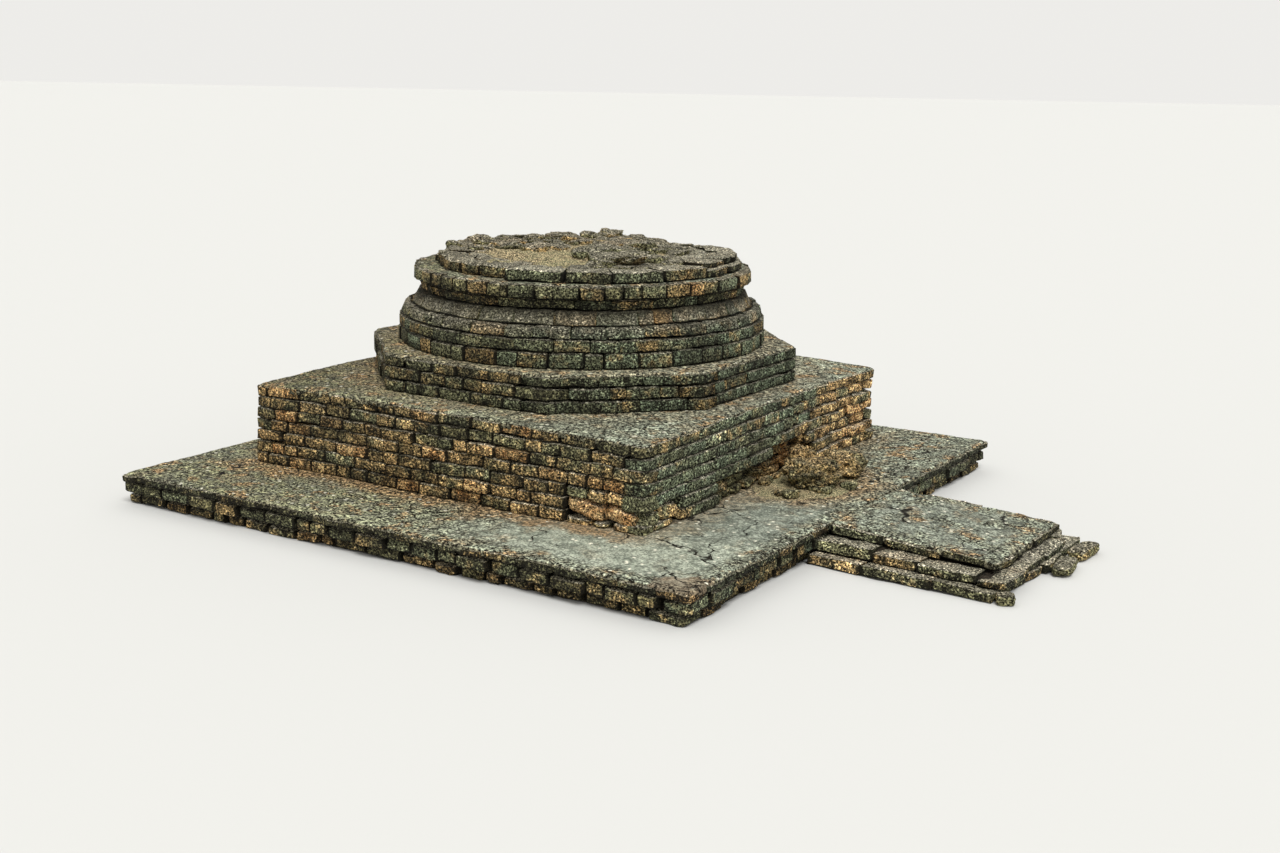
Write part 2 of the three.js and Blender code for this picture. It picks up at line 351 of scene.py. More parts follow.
def masonry_tree():
    """Geometry nodes: one weathered block on each point, laid straight, curved or leaning."""
    tree = empty_masonry_tree()
    net = Net(tree)
    given = net.add("NodeGroupInput")
    here = net.add("GeometryNodeInputPosition")
    cube = net.add("GeometryNodeMeshCube", None, "Mesh", Size=(1, 1, 1),
                   Vertices_X=7, Vertices_Y=3, Vertices_Z=4)
    cube = net.keep(cube, "cell", here)
    points = net.keep(given.of("Points"), "centre", here)
    blocks = net.add("GeometryNodeInstanceOnPoints", None, "Instances", Points=points, Instance=cube)
    blocks = net.add("GeometryNodeRealizeInstances", None, "Geometry", Geometry=blocks)

    size = net.named("size", "FLOAT_VECTOR")
    centre = net.named("centre", "FLOAT_VECTOR")
    cell = net.parts(net.named("cell", "FLOAT_VECTOR"))
    spread = gathered(net, cell)
    place = lumpy(net, rounded_box(net, spread, size), centre, given)
    place = rounded_plan(net, laid(net, place, cell, size) + centre, given)

    blocks = net.keep(blocks, "rim", from_joint(net, spread, size), "FLOAT")
    blocks = net.add("GeometryNodeSetPosition", None, "Geometry", Geometry=blocks, Position=place)
    blocks = net.add("GeometryNodeSetShadeSmooth", None, "Geometry", Geometry=blocks)
    blocks = net.add("GeometryNodeSetMaterial", None, "Geometry", Geometry=blocks,
                     Material=given.of("Stone"))
    net.join(tree.nodes.new("NodeGroupOutput").inputs[0], blocks)
    return tree


MASONRY = masonry_tree()


def lay(name, courses, stone, nodes=(), slot="laterite", **inputs):
    """Runs the masonry tree on the blocks and keeps the result as a plain mesh.
    inputs are the tree's own, with underscores for spaces."""
    bed = courses.points(name + "_bed")
    modifier = bed.modifiers.new("blocks", "NODES")
    modifier.node_group = MASONRY
    chosen = {key.replace("_", " "): value for key, value in inputs.items()}
    chosen["Stone"] = stone
    for item in MASONRY.interface.items_tree:
        if item.item_type == "SOCKET" and item.in_out == "INPUT" and item.name in chosen:
            modifier[item.identifier] = chosen[item.name]
    bpy.context.view_layer.update()
    mesh = bpy.data.meshes.new_from_object(bed.evaluated_get(bpy.context.evaluated_depsgraph_get()))
    bpy.data.objects.remove(bed)
    for field in (*Courses.FIELDS, "centre", "cell"):
        if field not in TONES and field in mesh.attributes:
            mesh.attributes.remove(mesh.attributes[field])
    return stand(name, mesh, nodes, slot)


def stand(name, mesh, nodes=(), slot="laterite"):
    """Adds a finished mesh as a piece on the root body, in place of the nodes given."""
    mesh.name = name
    piece = bpy.data.objects.new(name, mesh)
    bpy.context.scene.collection.objects.link(piece)
    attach(piece, "root")
    for node in nodes:
        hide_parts(node)
    return piece


# Materials

# Near-black for the painted shade in pits and for open joints, and the colours of the tops of the blocks from
# dark to light
PIT = (0.010, 0.008, 0.0035)
GREY_TOPS = ((0.17, 0.155, 0.11), (0.29, 0.27, 0.20))
GLOSS = 0.2
# Middle of the bare block at the platform's near corner
CORNER_BLOCK = (PAVING_HIGH[0] - 0.14, PAVING_LOW[1] + 0.12)
# Earth round the fallen blocks: its middle, half lengths and height, and the half lengths of its stain
HEAP_CENTRE, HEAP_HALF, HEAP_HEIGHT = (2.95, 0.12), (0.52, 0.72), 0.06
HEAP_SOIL = (0.72, 0.95)
# Limits along x, y and z between which the looks of the crusts change
GREYER_X = (-1.5, 2.5)
DARKER_X, DARKER_Z = (0.0, -2.5), (0.5, 1.0)
PALER_Y = (-2.1, -2.8)
PORCH_MORTAR_X = (3.70, 4.00)
LESS_SOIL_X, LESS_SOIL_Z = (2.2, 2.8), (0.6, 1.0)
PORCH_CRACKS_X, CRACKS_Z = (3.1, 3.3), (0.5, 0.4)
# Mortar round the near corner: its middle, the distances at which it begins and is full, and its height
MORTAR_MIDDLE, MORTAR_REACH, MORTAR_Z = (3.0, -2.9), (2.5, 1.3), (0.45, 0.37)


def new_material(name):
    """A material with its tree, its shader and the place on the object."""
    material = bpy.data.materials.new(name)
    material.use_nodes = True
    net = Net(material.node_tree)
    shader = material.node_tree.nodes["Principled BSDF"]
    place = net.add("ShaderNodeTexCoord", None, "Object")
    return material, net, shader, place


def finish_material(net, shader, colour, roughness, relief, distance):
    """Joins the colour, the roughness and the relief, whose height is distance, to the shader."""
    net.join(shader.inputs["Base Color"], colour)
    net.join(shader.inputs["Roughness"], roughness)
    shader.inputs["Specular IOR Level"].default_value = GLOSS
    bump = net.add("ShaderNodeBump", None, "Normal", Strength=1.0, Distance=distance, Height=relief)
    net.join(shader.inputs["Normal"], bump)


def upward(net):
    """1 on upper surfaces, 0 on walls."""
    return net.ramp(net.parts(net.add("ShaderNodeNewGeometry", None, "Normal"))[2], 0.45, 0.85)


def laterite_material(name, pitted=1.0, topped=1.0, tops=1.0, grain=37.0, shaded=None):
    """Weathered laterite: pitted stone from fresh orange to an olive crust, block by block.
    rim is the distance from the nearest joint. pitted is the strength of the pits and ridges,
    topped that of the grey on upper surfaces and tops its brightness. grain is the number of pores
    in a metre. shaded gives the heights between which the stone turns dark under an overhang."""
    material, net, shader, place = new_material(name)
    seed, warm, damp, grime, rim = (net.attribute(field) for field in (*TONES, "rim"))
    own = place + net.vector(seed * 31, seed * 17, seed * 53)
    top = upward(net)
    stains = net.noise(place, 1.4, 3.0)
    blots = net.noise(place + (5.0, 1.0, 8.0), 3.6, 4.0, 0.6)
    patches = net.noise(own, 7.0, 3.0, 0.6)
    pores = net.noise(own * (1.0, 1.0, 1.3), grain, 4.0, 0.72)
    grit = net.noise(own, 62.0, 1.0, 0.5)

    # From the olive crust through brown to fresh orange
    fresh = warm + (stains - 0.5) * 0.8 + (blots - 0.5) * 0.9 + (patches - 0.5) * 0.8
    bright = net.ramp(fresh, 0.50, 0.92)
    crust = net.blend(damp, (0.208, 0.182, 0.080), (0.184, 0.226, 0.138))
    brown = net.blend(net.ramp(patches, 0.4, 0.6), (0.280, 0.187, 0.076), (0.392, 0.280, 0.118))
    orange = net.blend(net.ramp(patches, 0.4, 0.6), (0.525, 0.262, 0.088), (0.68, 0.445, 0.19))
    colour = net.blend(net.ramp(fresh, 0.16, 0.48), crust, brown)
    colour = net.blend(bright, colour, orange)

    # Dark stains, grey tops, grime or bleach, and the shade under an overhang
    gloom = net.most(net.ramp(stains, 0.50, 0.34), net.ramp(blots, 0.47, 0.34)) * 0.6
    colour = net.blend(gloom, colour, (0.074, 0.068, 0.036))
    flat = net.blend(net.ramp(patches, 0.35, 0.65), *([c * tops for c in grey] for grey in GREY_TOPS))
    colour = net.blend(top * (0.8 - bright * 0.5) * topped, colour, flat)
    colour = net.tint(grime, colour, (0.40, 0.41, 0.40))
    colour = net.tint(0.0 - grime, colour, (2.0, 2.0, 2.1))
    if shaded:
        band = net.ramp(net.parts(place)[2] + (blots - 0.5) * 0.12, *shaded)
        colour = net.tint(band, colour, (0.30, 0.30, 0.28))

    # Painted highlight on the ridges and painted shade in the pits, which are deep holes; the joints are dark
    ridges = (1.0 - bright * 0.55) * pitted
    colour = net.tint(net.ramp(pores, 0.48, 0.62) * ridges, colour, (2.25, 2.2, 2.2))
    colour = net.tint(net.ramp(grit, 0.46, 0.60) * ridges, colour, (2.1, 2.1, 2.2))
    # Painted shade: the pits are darkened as the shade in deep holes
    pits = net.most(net.ramp(pores, 0.455, 0.410), net.ramp(grit, 0.43, 0.38)) * pitted
    seam = net.ramp(rim + (pores - 0.5) * 0.04 + (patches - 0.5) * 0.03, 0.018, 0.004) * (1.0 - top)
    colour = net.blend(net.most(pits, seam * 0.95), colour, PIT)
    relief = (net.ramp(pores, 0.38, 0.62) + grit * 0.3) * pitted + patches * 0.5 - seam * 0.5
    finish_material(net, shader, colour, net.ramp(patches, 0.3, 0.7, 0.98, 0.86), relief, distance=0.032)
    return material


def bare_crust(net, place, broad, stains, patches):
    """Grey crust, greener and darker on the left, most of all above the platform."""
    x, _, z = net.parts(place)
    light = net.blend(net.ramp(x, *GREYER_X), (0.288, 0.290, 0.166), (0.305, 0.334, 0.256))
    bare = net.blend(net.ramp(patches, 0.36, 0.64), (0.152, 0.153, 0.112), light)
    left = net.ramp(x, *DARKER_X) * net.ramp(z, *DARKER_Z, 0.30, 1.0)
    bare = net.tint(left, bare, (0.52, 0.50, 0.46))
    bare = net.blend(net.ramp(stains, 0.50, 0.66) * 0.6, bare, (0.222, 0.184, 0.118))
    return net.blend(net.ramp(broad, 0.50, 0.36) * 0.5, bare, (0.130, 0.136, 0.104))


def mortar_colour(net, place, stains, patches):
    """Smooth mortar, paler along the near edge of the platform."""
    mortar = net.blend(net.ramp(patches, 0.36, 0.64), (0.130, 0.150, 0.122), (0.300, 0.326, 0.268))
    near = net.ramp(net.parts(place)[1] + (stains - 0.5) * 1.2, *PALER_Y)
    return net.tint(near * 0.8, mortar, (1.50, 1.47, 1.42))


def mortar_share(net, place, stains):
    """Where mortar lies: round the near corner of the platform, and in patches on the porch."""
    x, y, z = net.parts(place)
    middle_x, middle_y = MORTAR_MIDDLE
    from_middle = net.length(net.vector(x - middle_x, (y - middle_y) * 0.8, 0.0)) + (stains - 0.5) * 1.6
    on_porch = net.ramp(x, *PORCH_MORTAR_X)
    smooth = net.ramp(z, *MORTAR_Z) * net.ramp(from_middle, *MORTAR_REACH) * (1.0 - on_porch)
    return net.most(smooth, net.ramp(stains, 0.40, 0.54) * on_porch * 0.8)


def soil_share(net, place, stains, smooth):
    """Where soil lies: at the foot of the walls, round the fallen blocks and in strewn patches."""
    x, y, z = net.parts(place)
    foot = net.attribute("foot")
    by_wall = net.ramp(foot + (stains - 0.5) * 1.5, 0.62, 0.22) * net.ramp(z, *LESS_SOIL_Z, 1.0, 0.3)
    by_wall = by_wall * net.ramp(x, *LESS_SOIL_X, 1.0, 0.4)
    off_x, off_y = (x - HEAP_CENTRE[0]) / HEAP_SOIL[0], (y - HEAP_CENTRE[1]) / HEAP_SOIL[1]
    from_heap = net.vector(off_x, off_y, (z - PAVING_TOP) * 8)
    by_heap = net.ramp(net.length(from_heap) + (stains - 0.5) * 0.9, 1.30, 0.80) * 0.8
    spill = net.ramp(net.noise(place + (7.0, 3.0, 0.0), 2.6, 6.0, 0.72), 0.53, 0.61)
    return net.most(net.most(by_wall, by_heap) * 0.85, spill * (1.0 - smooth * 0.8) * 0.8)


def cracks(net, place, broad):
    """Long cracks in the platform, in places, and all over the porch."""
    x, _, z = net.parts(place)
    spread = net.noise(place, 3.0, 3.0).of("Color") - (0.5, 0.5, 0.5)
    seams = net.add("ShaderNodeTexVoronoi", {"feature": "DISTANCE_TO_EDGE"}, "Distance",
                    Vector=(place + spread * 0.5) * (1.0, 1.0, 0.2), Scale=1.2)
    where = net.most(net.ramp(broad, 0.46, 0.56), net.ramp(x, *PORCH_CRACKS_X))
    return net.ramp(seams, 0.013, 0.005) * where * net.ramp(z, *CRACKS_Z)


def flecks(net, place, grit):
    """Clusters of small pale flecks."""
    spots = net.add("ShaderNodeTexVoronoi", {"voronoi_dimensions": "2D"}, "Distance", Vector=place, Scale=6.5)
    dots = net.ramp(spots + (grit - 0.5) * 0.20, 0.125, 0.105)
    clusters = net.ramp(net.noise(place, 2.6, 3.0), 0.42, 0.54)
    return dots * clusters * net.ramp(net.parts(spots.of("Color"))[0], 0.50, 0.60)


def crust_material(name):
    """Upper surfaces: grey crust, smooth mortar patches, soil by the walls, pale flecks and cracks.
    edge is the distance from the outer edge, foot the distance from the wall on the inner side."""
    material, net, shader, place = new_material(name)
    x, y, _ = net.parts(place)
    top = upward(net)
    broad = net.noise(place, 1.1, 3.0)
    stains = net.noise(place + (4.0, 9.0, 2.0), 2.6, 4.0, 0.6)
    patches = net.noise(place, 6.0, 5.0, 0.7)
    pores = net.noise(place, 27.0, 4.0, 0.72)
    grit = net.noise(place, 46.0, 1.0, 0.5)
    inner = net.ramp(net.attribute("edge") + (patches - 0.5) * 0.3, 0.10, 0.28)
    smooth = mortar_share(net, place, stains) * inner
    rough = 1.0 - smooth * 0.60

    # Crust, mortar and soil on top, and bare stone on the rolled edge
    bare = bare_crust(net, place, broad, stains, patches)
    colour = net.blend(smooth * 0.85, bare, mortar_colour(net, place, stains, patches))
    soil = net.blend(net.ramp(pores, 0.42, 0.58), (0.120, 0.082, 0.040), (0.34, 0.215, 0.105))
    colour = net.blend(soil_share(net, place, stains, smooth), colour, soil)
    side = net.blend(net.ramp(patches, 0.4, 0.6), (0.080, 0.078, 0.052), (0.165, 0.150, 0.098))
    colour = net.blend(1.0 - top, colour, side)

    # Painted highlight on the ridges, the near corner is bare, and the painted shade in the pits, the cracks
    # and the flecks come last
    colour = net.tint(net.ramp(pores, 0.50, 0.66) * (1.0 - smooth * 0.6), colour, (1.7, 1.7, 1.65))
    colour = net.tint(net.ramp(grit, 0.46, 0.58) * rough, colour, (2.05, 2.05, 2.0))
    from_corner = net.length(net.vector(x - CORNER_BLOCK[0], y - CORNER_BLOCK[1], 0.0))
    bare_corner = net.ramp(from_corner + (patches - 0.5) * 0.3, 0.38, 0.30) * 0.7
    colour = net.blend(bare_corner, colour, (0.30, 0.222, 0.145))
    # Painted shade: the pits of the crust are darkened as the shade in deep holes
    pits = net.most(net.ramp(pores, 0.470, 0.420), net.ramp(grit, 0.44, 0.38)) * rough
    crack = cracks(net, place, broad) * inner
    colour = net.blend(net.most(pits, crack), colour, PIT)
    fleck = flecks(net, place, grit) * top
    colour = net.blend(fleck, colour, (0.88, 0.85, 0.68))
    relief = (net.ramp(pores, 0.34, 0.60) + grit * 0.25) * rough + patches * 0.5 - crack + fleck * 0.4
    roughness = net.ramp(smooth + patches * 0.5, 0.2, 1.2, 0.95, 0.78)
    finish_material(net, shader, colour, roughness, relief, distance=0.018)
    return material


def earth_material(name, dark, light, other, scale):
    """Packed earth and rotted stone for the fill, and a near-black kind for the painted shade in joints and
    hearting.
    """
    material, net, shader, place = new_material(name)
    lumps = net.noise(place, scale, 6.0, 0.75)
    broad = net.noise(place, 2.4, 3.0)
    grit = net.noise(place, 70.0, 2.0, 0.6)
    colour = net.blend(net.ramp(lumps, 0.40, 0.60), dark, light)
    colour = net.blend(net.ramp(broad, 0.45, 0.62) * 0.7, colour, other)
    colour = net.blend(net.ramp(grit, 0.56, 0.62), colour, [min(1.0, 2.2 * c) for c in light])
    colour = net.blend(net.ramp(grit, 0.45, 0.38), colour, PIT)
    roughness = net.ramp(lumps, 0.3, 0.7, 0.98, 0.9)
    finish_material(net, shader, colour, roughness, lumps + grit * 0.4, distance=0.03)
    return material


laterite = laterite_material("weathered_laterite")
broken_laterite = laterite_material("broken_laterite", topped=0.3, grain=31.0)
cap_laterite = laterite_material("cap_laterite", tops=1.9)
rain_worn = laterite_material("rain_worn_laterite", pitted=0.8,
                              shaded=(TOP["sloping_course"] - 0.12, TOP["sloping_course"] - 0.02))
paving_crust = crust_material("crusted_paving")
fill_earth = earth_material("earth_and_rubble", dark=(0.095, 0.080, 0.046), light=(0.36, 0.29, 0.165),
                            other=(0.25, 0.25, 0.135), scale=15.0)
# Near-black earth: painted shade deep in the open joints, on the cores and beds seen through them
joint_earth_painted_shade = earth_material("joint_earth_painted_shade", dark=(0.012, 0.010, 0.007), light=(0.035, 0.027, 0.018),
                             other=(0.020, 0.018, 0.012), scale=14.0)


# Tone of a block, from the tier, where it faces and where it lies

def clamp(value):
    return min(1.0, max(0.0, value))


def bump_at(value, middle, width):
    """1 at the middle, falling off smoothly to either side."""
    return math.exp(-((value - middle) / width) ** 2)


# Tone of the blocks of each tier: how fresh, how damp, the spread of the freshness, how grimy
TIER_TONES = {
    "platform_foot": (0.34, 0.15, 0.15, 0.10),
    "platform": (0.16, 0.35, 0.12, 0.25),
    "porch": (0.18, 0.45, 0.14, -0.45),
    "plinth": (0.27, 0.25, 0.15, 0.04),
    "octagon": (0.15, 0.45, 0.15, 0.50),
    "drum": (0.17, 0.50, 0.13, 0.56),
    "slope": (0.26, 0.30, 0.26, 0.30),
    "rim": (0.24, 0.25, 0.15, 0.25),
    "cap": (0.12, 0.45, 0.12, 0.50),
}
# The bare block at the platform's near corner: its reach, how fresh it is, the spread and how grimy
BARE_REACH = 0.32
BARE_TONE = (0.6, 0.02, 0.0)


def tone(rng, place, outward, tier):
    """How fresh, damp and grimy a block looks, each from 0 to 1. Grime below 0 is bleached stone."""
    x, y, z = place
    left = max(0.0, -outward[1])
    right = max(0.0, outward[0])
    warm, damp, spread, grime = TIER_TONES[tier]
    if tier == "plinth":
        low = clamp((1.2 - z) / 0.8)
        far = clamp((y - 0.5) / 0.8)
        warm += left * (0.10 + 0.26 * bump_at(x, 1.6, 0.9) * low + 0.16 * bump_at(x, -2.0, 0.8))
        warm += right * (0.32 * far * clamp((1.3 - z) / 0.3) - 0.15 * (1 - far))
        grime -= right * (0.26 + 0.90 * far) + left * 0.30 * bump_at(x, 1.9, 1.1)
        damp += right * (0.6 - 0.5 * far)
    elif tier in ("octagon", "drum", "slope"):
        warm += 0.14 * max(0.0, -outward[0] - 0.2) - 0.04 * right
        damp += 0.55 * right
        grime -= 0.05 * right
    elif tier in ("rim", "platform"):
        damp += 0.4 * right
    if tier == "platform" and z > PAVING_TOP - 0.10 and math.dist((x, y), CORNER_BLOCK) < BARE_REACH:
        warm, spread, grime = BARE_TONE
    return {"warm": clamp(rng.gauss(warm, spread)), "damp": clamp(rng.gauss(damp, 0.15)),
            "grime": rng.gauss(grime, 0.22)}


# Walls

# How blocks are finished and laid. soft is the radius of their edges and tight the share of it at their
# ends. apart is how far a block differs from the next, uneven how much they tip, joint and bed are the
# gaps beside and above them, jut is how far they stand in or out and back how far they are set back.
NEAT = {"soft": 0.023, "tight": 0.6, "apart": 1.0, "uneven": 1.55,
        "joint": 0.003, "bed": 0.007, "jut": 0.012}
MERGED = {"soft": 0.024, "tight": 0.35, "apart": 0.1, "uneven": 0.7,
          "joint": 0.002, "bed": 0.010, "jut": 0.003}
LOOSE = {"soft": 0.036, "tight": 0.9, "apart": 1.0, "uneven": 2.2,
         "joint": 0.016, "bed": 0.012, "jut": 0.024}
BROAD = {**NEAT, "soft": 0.013, "uneven": 2.0, "joint": 0.006, "bed": 0.004, "jut": 0.028}
SUNK = {**LOOSE, "soft": 0.044, "back": 0.035}

HEADER_LENGTH = 0.21
# At corners that bend by less than this, in radians, the blocks are mitred. At others the sides take turns.
LEAST_BOND = 0.7
OPEN_END = (0.0, 0.0, 0.0)
# Distance to either side of a block over which the fall of its bed is measured
FALL_REACH = 0.1


def block_lengths(rng, run, mean, share):
    """Lengths of the blocks along a run: long stretchers with a short header here and there."""
    lengths = []
    while sum(lengths) < run:
        base = HEADER_LENGTH if rng.random() < share else mean
        lengths.append(base * rng.uniform(0.8, 1.25))
    if len(lengths) > 1 and sum(lengths) - run > lengths[-1] * 0.5:
        lengths.pop()
    scale = run / sum(lengths)
    return [length * scale for length in lengths]


def stretches(start, stop, breaks):
    """The parts of a run that lie outside its broken places."""
    parts = []
    for first, last in sorted(breaks):
        if first > start:
            parts.append((start, min(first, stop)))
        start = max(start, last)
    if start < stop:
        parts.append((start, stop))
    return parts


def side_end(before, after, depth, owned):
    """How a side ends at a corner: the length that it leaves to the next side, its mitre, and 1 where
    the end of its last block shows."""
    bend = -before.angle_signed(after)
    if bend < LEAST_BOND:
        return 0.0, -math.tan(bend / 2), 0.0
    if owned:
        return 0.0, 1 / math.tan(bend), 1.0
    return depth / math.sin(bend), 0.0, 0.0


def straight_wall(courses, corners, low, high, own, tier, look, depth=0.30, mean=0.40, share=0.28,
                  breaks=None, closed=True):
    """Blocks along the sides of an outline, corner blocks bonding from course to course.
    low and high are the beds, functions of a plan point. own says which sides own their corner blocks.
    look is a style, or one for each side. mean is the length of a stretcher, share that of the headers.
    breaks holds the broken stretches of a side, as distances from its first corner."""
    rng = courses.rng
    corners = [Vector(corner) for corner in corners]
    count = len(corners)
    for i in range(count if closed else count - 1):
        a, b = corners[i], corners[(i + 1) % count]
        run = b - a
        along = run.normalized()
        outward = Vector((along.y, -along.x))
        style = look[i] if isinstance(look, list) else look
        first_end = side_end(a - corners[i - 1], run, depth, own(i))
        last_end = side_end(run, corners[(i + 2) % count] - b, depth, own(i))
        if not closed and i == 0:
            first_end = OPEN_END
        if not closed and i == count - 2:
            last_end = OPEN_END
        start, stop = first_end[0], run.length - last_end[0]
        slope = (low(*b) - low(*a)) / run.length
        for first, last in stretches(start, stop, (breaks or {}).get(i, [])):
            here = first
            for length in block_lengths(rng, last - first, mean, share):
                spot = a + along * (here + length / 2)
                at_start, at_end = here == start, here + length > stop - 0.01
                mitre, free = [(first_end[k] * at_start, last_end[k] * at_end, 0) for k in (1, 2)]
                here += length
                if not (at_start or at_end):
                    # A number that nothing uses, drawn to keep the order of the draws
                    rng.random()
                bottom, top = low(*spot), high(*spot)
                middle = (bottom + top) / 2
                ahead, behind = spot + along * FALL_REACH, spot - along * FALL_REACH
                fall = settled(*ahead, middle) - settled(*behind, middle)
                back = style.get("back", 0.0) + depth / 2
                spot = spot + outward * (rng.uniform(-1, 1) * style["jut"] - back)
                place = (spot.x, spot.y, middle)
                height = top - bottom - style["bed"] * rng.uniform(0.5, 1.8)
                courses.block(place, math.atan2(along.y, along.x), (length - style["joint"], depth, height),
                              {**style, **tone(rng, place, outward, tier)}, mitre=mitre, free=free,
                              pitch=-math.atan(slope + fall / (2 * FALL_REACH)))


def round_wall(courses, radius, z, height, tier, look, depth=0.26, lean=0.0, belly=0.0, mean=0.36,
               share=0.25, arc=(0.0, TURN)):
    """Blocks round an arc. radius is that of the outer face at mid height, z the height of the bed."""
    rng = courses.rng
    angle = arc[0]
    for length in block_lengths(rng, (arc[1] - arc[0]) * radius, mean, share):
        half = length / 2 / radius
        angle += half
        outward = (math.cos(angle), math.sin(angle))
        centre = radius - depth / 2 + rng.uniform(-1, 1) * look["jut"]
        shades = tone(rng, (outward[0] * radius, outward[1] * radius, z), outward, tier)
        size = ((length - look["joint"]) * centre / radius, depth, height - look["bed"])
        courses.block((outward[0] * centre, outward[1] * centre, z + height / 2), angle + math.pi / 2,
                      size, {**look, **shades}, curve=1 / centre, lean=lean, belly=belly)
        angle += half


def level_bed(height):
    """A level bed, as a function of a plan point."""
    return lambda x, y: height


def lowered(bed, drop):
    """A bed that lies below another."""
    return lambda x, y: bed(x, y) - drop


def settled_bed(bed):
    """A bed that has settled with the masonry."""
    return lambda x, y: bed(x, y) + settled(x, y, bed(x, y))


def alternate(turn):
    """Which sides own their corner blocks: the even or the odd ones, by course."""
    return lambda side: (side + turn) % 2 == 0


# Outlines

AXIS = Vector((0, 0))


def rectangle(low, high):
    """Corners of a plan rectangle, counter-clockwise from the near left."""
    return [(low[0], low[1]), (high[0], low[1]), (high[0], high[1]), (low[0], high[1])]


def plan_of(low, high):
    """Middle and half lengths of a plan rectangle, as inputs of the masonry tree."""
    return {"Half_length": (high[0] - low[0]) / 2, "Half_width": (high[1] - low[1]) / 2,
            "Centre": ((low[0] + high[0]) / 2, (low[1] + high[1]) / 2, 0.0)}


def outline_of(node):
    """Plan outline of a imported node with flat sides, and its lower and upper bed as functions."""
    corners = {}
    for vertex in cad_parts[node].data.vertices:
        key = (round(vertex.co.x, 3), round(vertex.co.y, 3))
        corners.setdefault(key, []).append(vertex.co.z)
    places = np.array(list(corners))
    centre = places.mean(axis=0)
    order = np.argsort(np.arctan2(places[:, 1] - centre[1], places[:, 0] - centre[0]))
    ring = [tuple(places[i]) for i in order]
    plane = np.column_stack([places[order], np.ones(len(ring))])
    beds = []
    for pick in (min, max):
        heights = [pick(corners[tuple(np.round(p, 3))]) for p in ring]
        beds.append(np.linalg.lstsq(plane, np.array(heights), rcond=None)[0])
    low, high = [lambda x, y, c=c: c[0] * x + c[1] * y + c[2] for c in beds]
    return without_short_sides(ring), low, high


def without_short_sides(ring, least=0.25):
    """An outline with each short side replaced by the corner where its neighbours meet."""
    ring = [Vector(p) for p in ring]
    i = 0
    while i < len(ring):
        a, b, c, d = (ring[(i + k - 1) % len(ring)] for k in range(4))
        if (c - b).length < least:
            ahead, back, across = b - a, c - d, d - a
            share = (across.x * back.y - across.y * back.x) / (ahead.x * back.y - ahead.y * back.x)
            ring[i] = a + ahead * share
            ring.pop((i + 1) % len(ring))
        i += 1
    return ring


def rounded(corners, radius, step):
    """Points at even steps round an outline whose corners are rounded."""
    loop = []
    count = len(corners)
    bend_steps = 6
    for i in range(count):
        a, b, c = (Vector(corners[(i + k - 1) % count]) for k in range(3))
        before, after = (b - a).normalized(), (c - b).normalized()
        cut = radius * math.tan(-before.angle_signed(after) / 2)
        first, last = b - before * cut, b + after * cut
        for k in range(bend_steps + 1):
            t = k / bend_steps
            loop.append(first * (1 - t) ** 2 + b * 2 * t * (1 - t) + last * t * t)
    path = loop + [loop[0]]
    lengths = np.cumsum([0.0] + [(q - p).length for p, q in zip(path, path[1:])])
    wanted = np.linspace(0, lengths[-1], int(lengths[-1] / step), endpoint=False)
    xs = np.interp(wanted, lengths, [p.x for p in path])
    ys = np.interp(wanted, lengths, [p.y for p in path])
    return [Vector(p) for p in zip(xs, ys)]


def circle(radius, step):
    """Points at even steps round a circle."""
    count = int(TURN * radius / step)
    angles = [TURN * k / count for k in range(count)]
    return [Vector((radius * math.cos(angle), radius * math.sin(angle))) for angle in angles]


def shrunk(loop, share, centre=AXIS):
    """A loop drawn in towards a point."""
    return [centre + (p - centre) * share for p in loop]


def inwards(loop, centre, inner):
    """For each point of a loop, the point where its line to the centre meets the inner outline."""
    found = []
    for p in loop:
        way = p - centre
        best = 0.0
        for a, b in zip(inner, inner[1:] + inner[:1]):
            edge = b - a
            cross = way.x * edge.y - way.y * edge.x
            if abs(cross) < 1e-12:
                continue
            reach = ((a - centre).x * edge.y - (a - centre).y * edge.x) / cross
            share = ((a - centre).x * way.y - (a - centre).y * way.x) / cross
            if reach > 0 and -1e-6 <= share <= 1 + 1e-6:
                best = max(best, reach)
        found.append(centre + way * best)
    return found


def outward_at(loop, i):
    """The outward direction at a point of a loop."""
    tangent = (loop[(i + 1) % len(loop)] - loop[i - 1]).normalized()
    return Vector((tangent.y, -tangent.x))


# Crusts and hearting

# Height of the rolled edge of a crust, and where it runs on into another surface
FULL_LIP = 0.034
FLUSH_LIP = 0.005
# Distances from the edge of the points that roll over it
LIP_STEPS = (0.0, 0.004, 0.012, 0.024, 0.040, 0.060)
# Distance between the points of a crust, and of the core behind the blocks
CRUST_STEP = 0.035
CORE_STEP = 0.08
CORE_LAYERS = 4
# How far the blocks of a crusted course end below its top
CRUST_COVER = 0.012
# Size of the hole in the middle of a crust that covers everything, as a share of its outline
CLOSED = 0.004
# Distance from the wall that stands for no wall
NO_WALL = 9.0
# Where crusts end under the next tier: shares of its outline, and a radius
UNDER_PLINTH, UNDER_OCTAGON, UNDER_DRUM = 0.94, 0.93, 1.98


def edge_waver(p):
    """How a worn edge wavers, with a nick here and there."""
    nicks = max(0.0, noise.noise((p.x * 2.1, p.y * 2.1, 9.3)) - 0.25) * 3
    return noise.noise((p.x * 2.6, p.y * 2.6, 3.1)) + noise.noise((p.x * 9, p.y * 9, 7.7)) - nicks


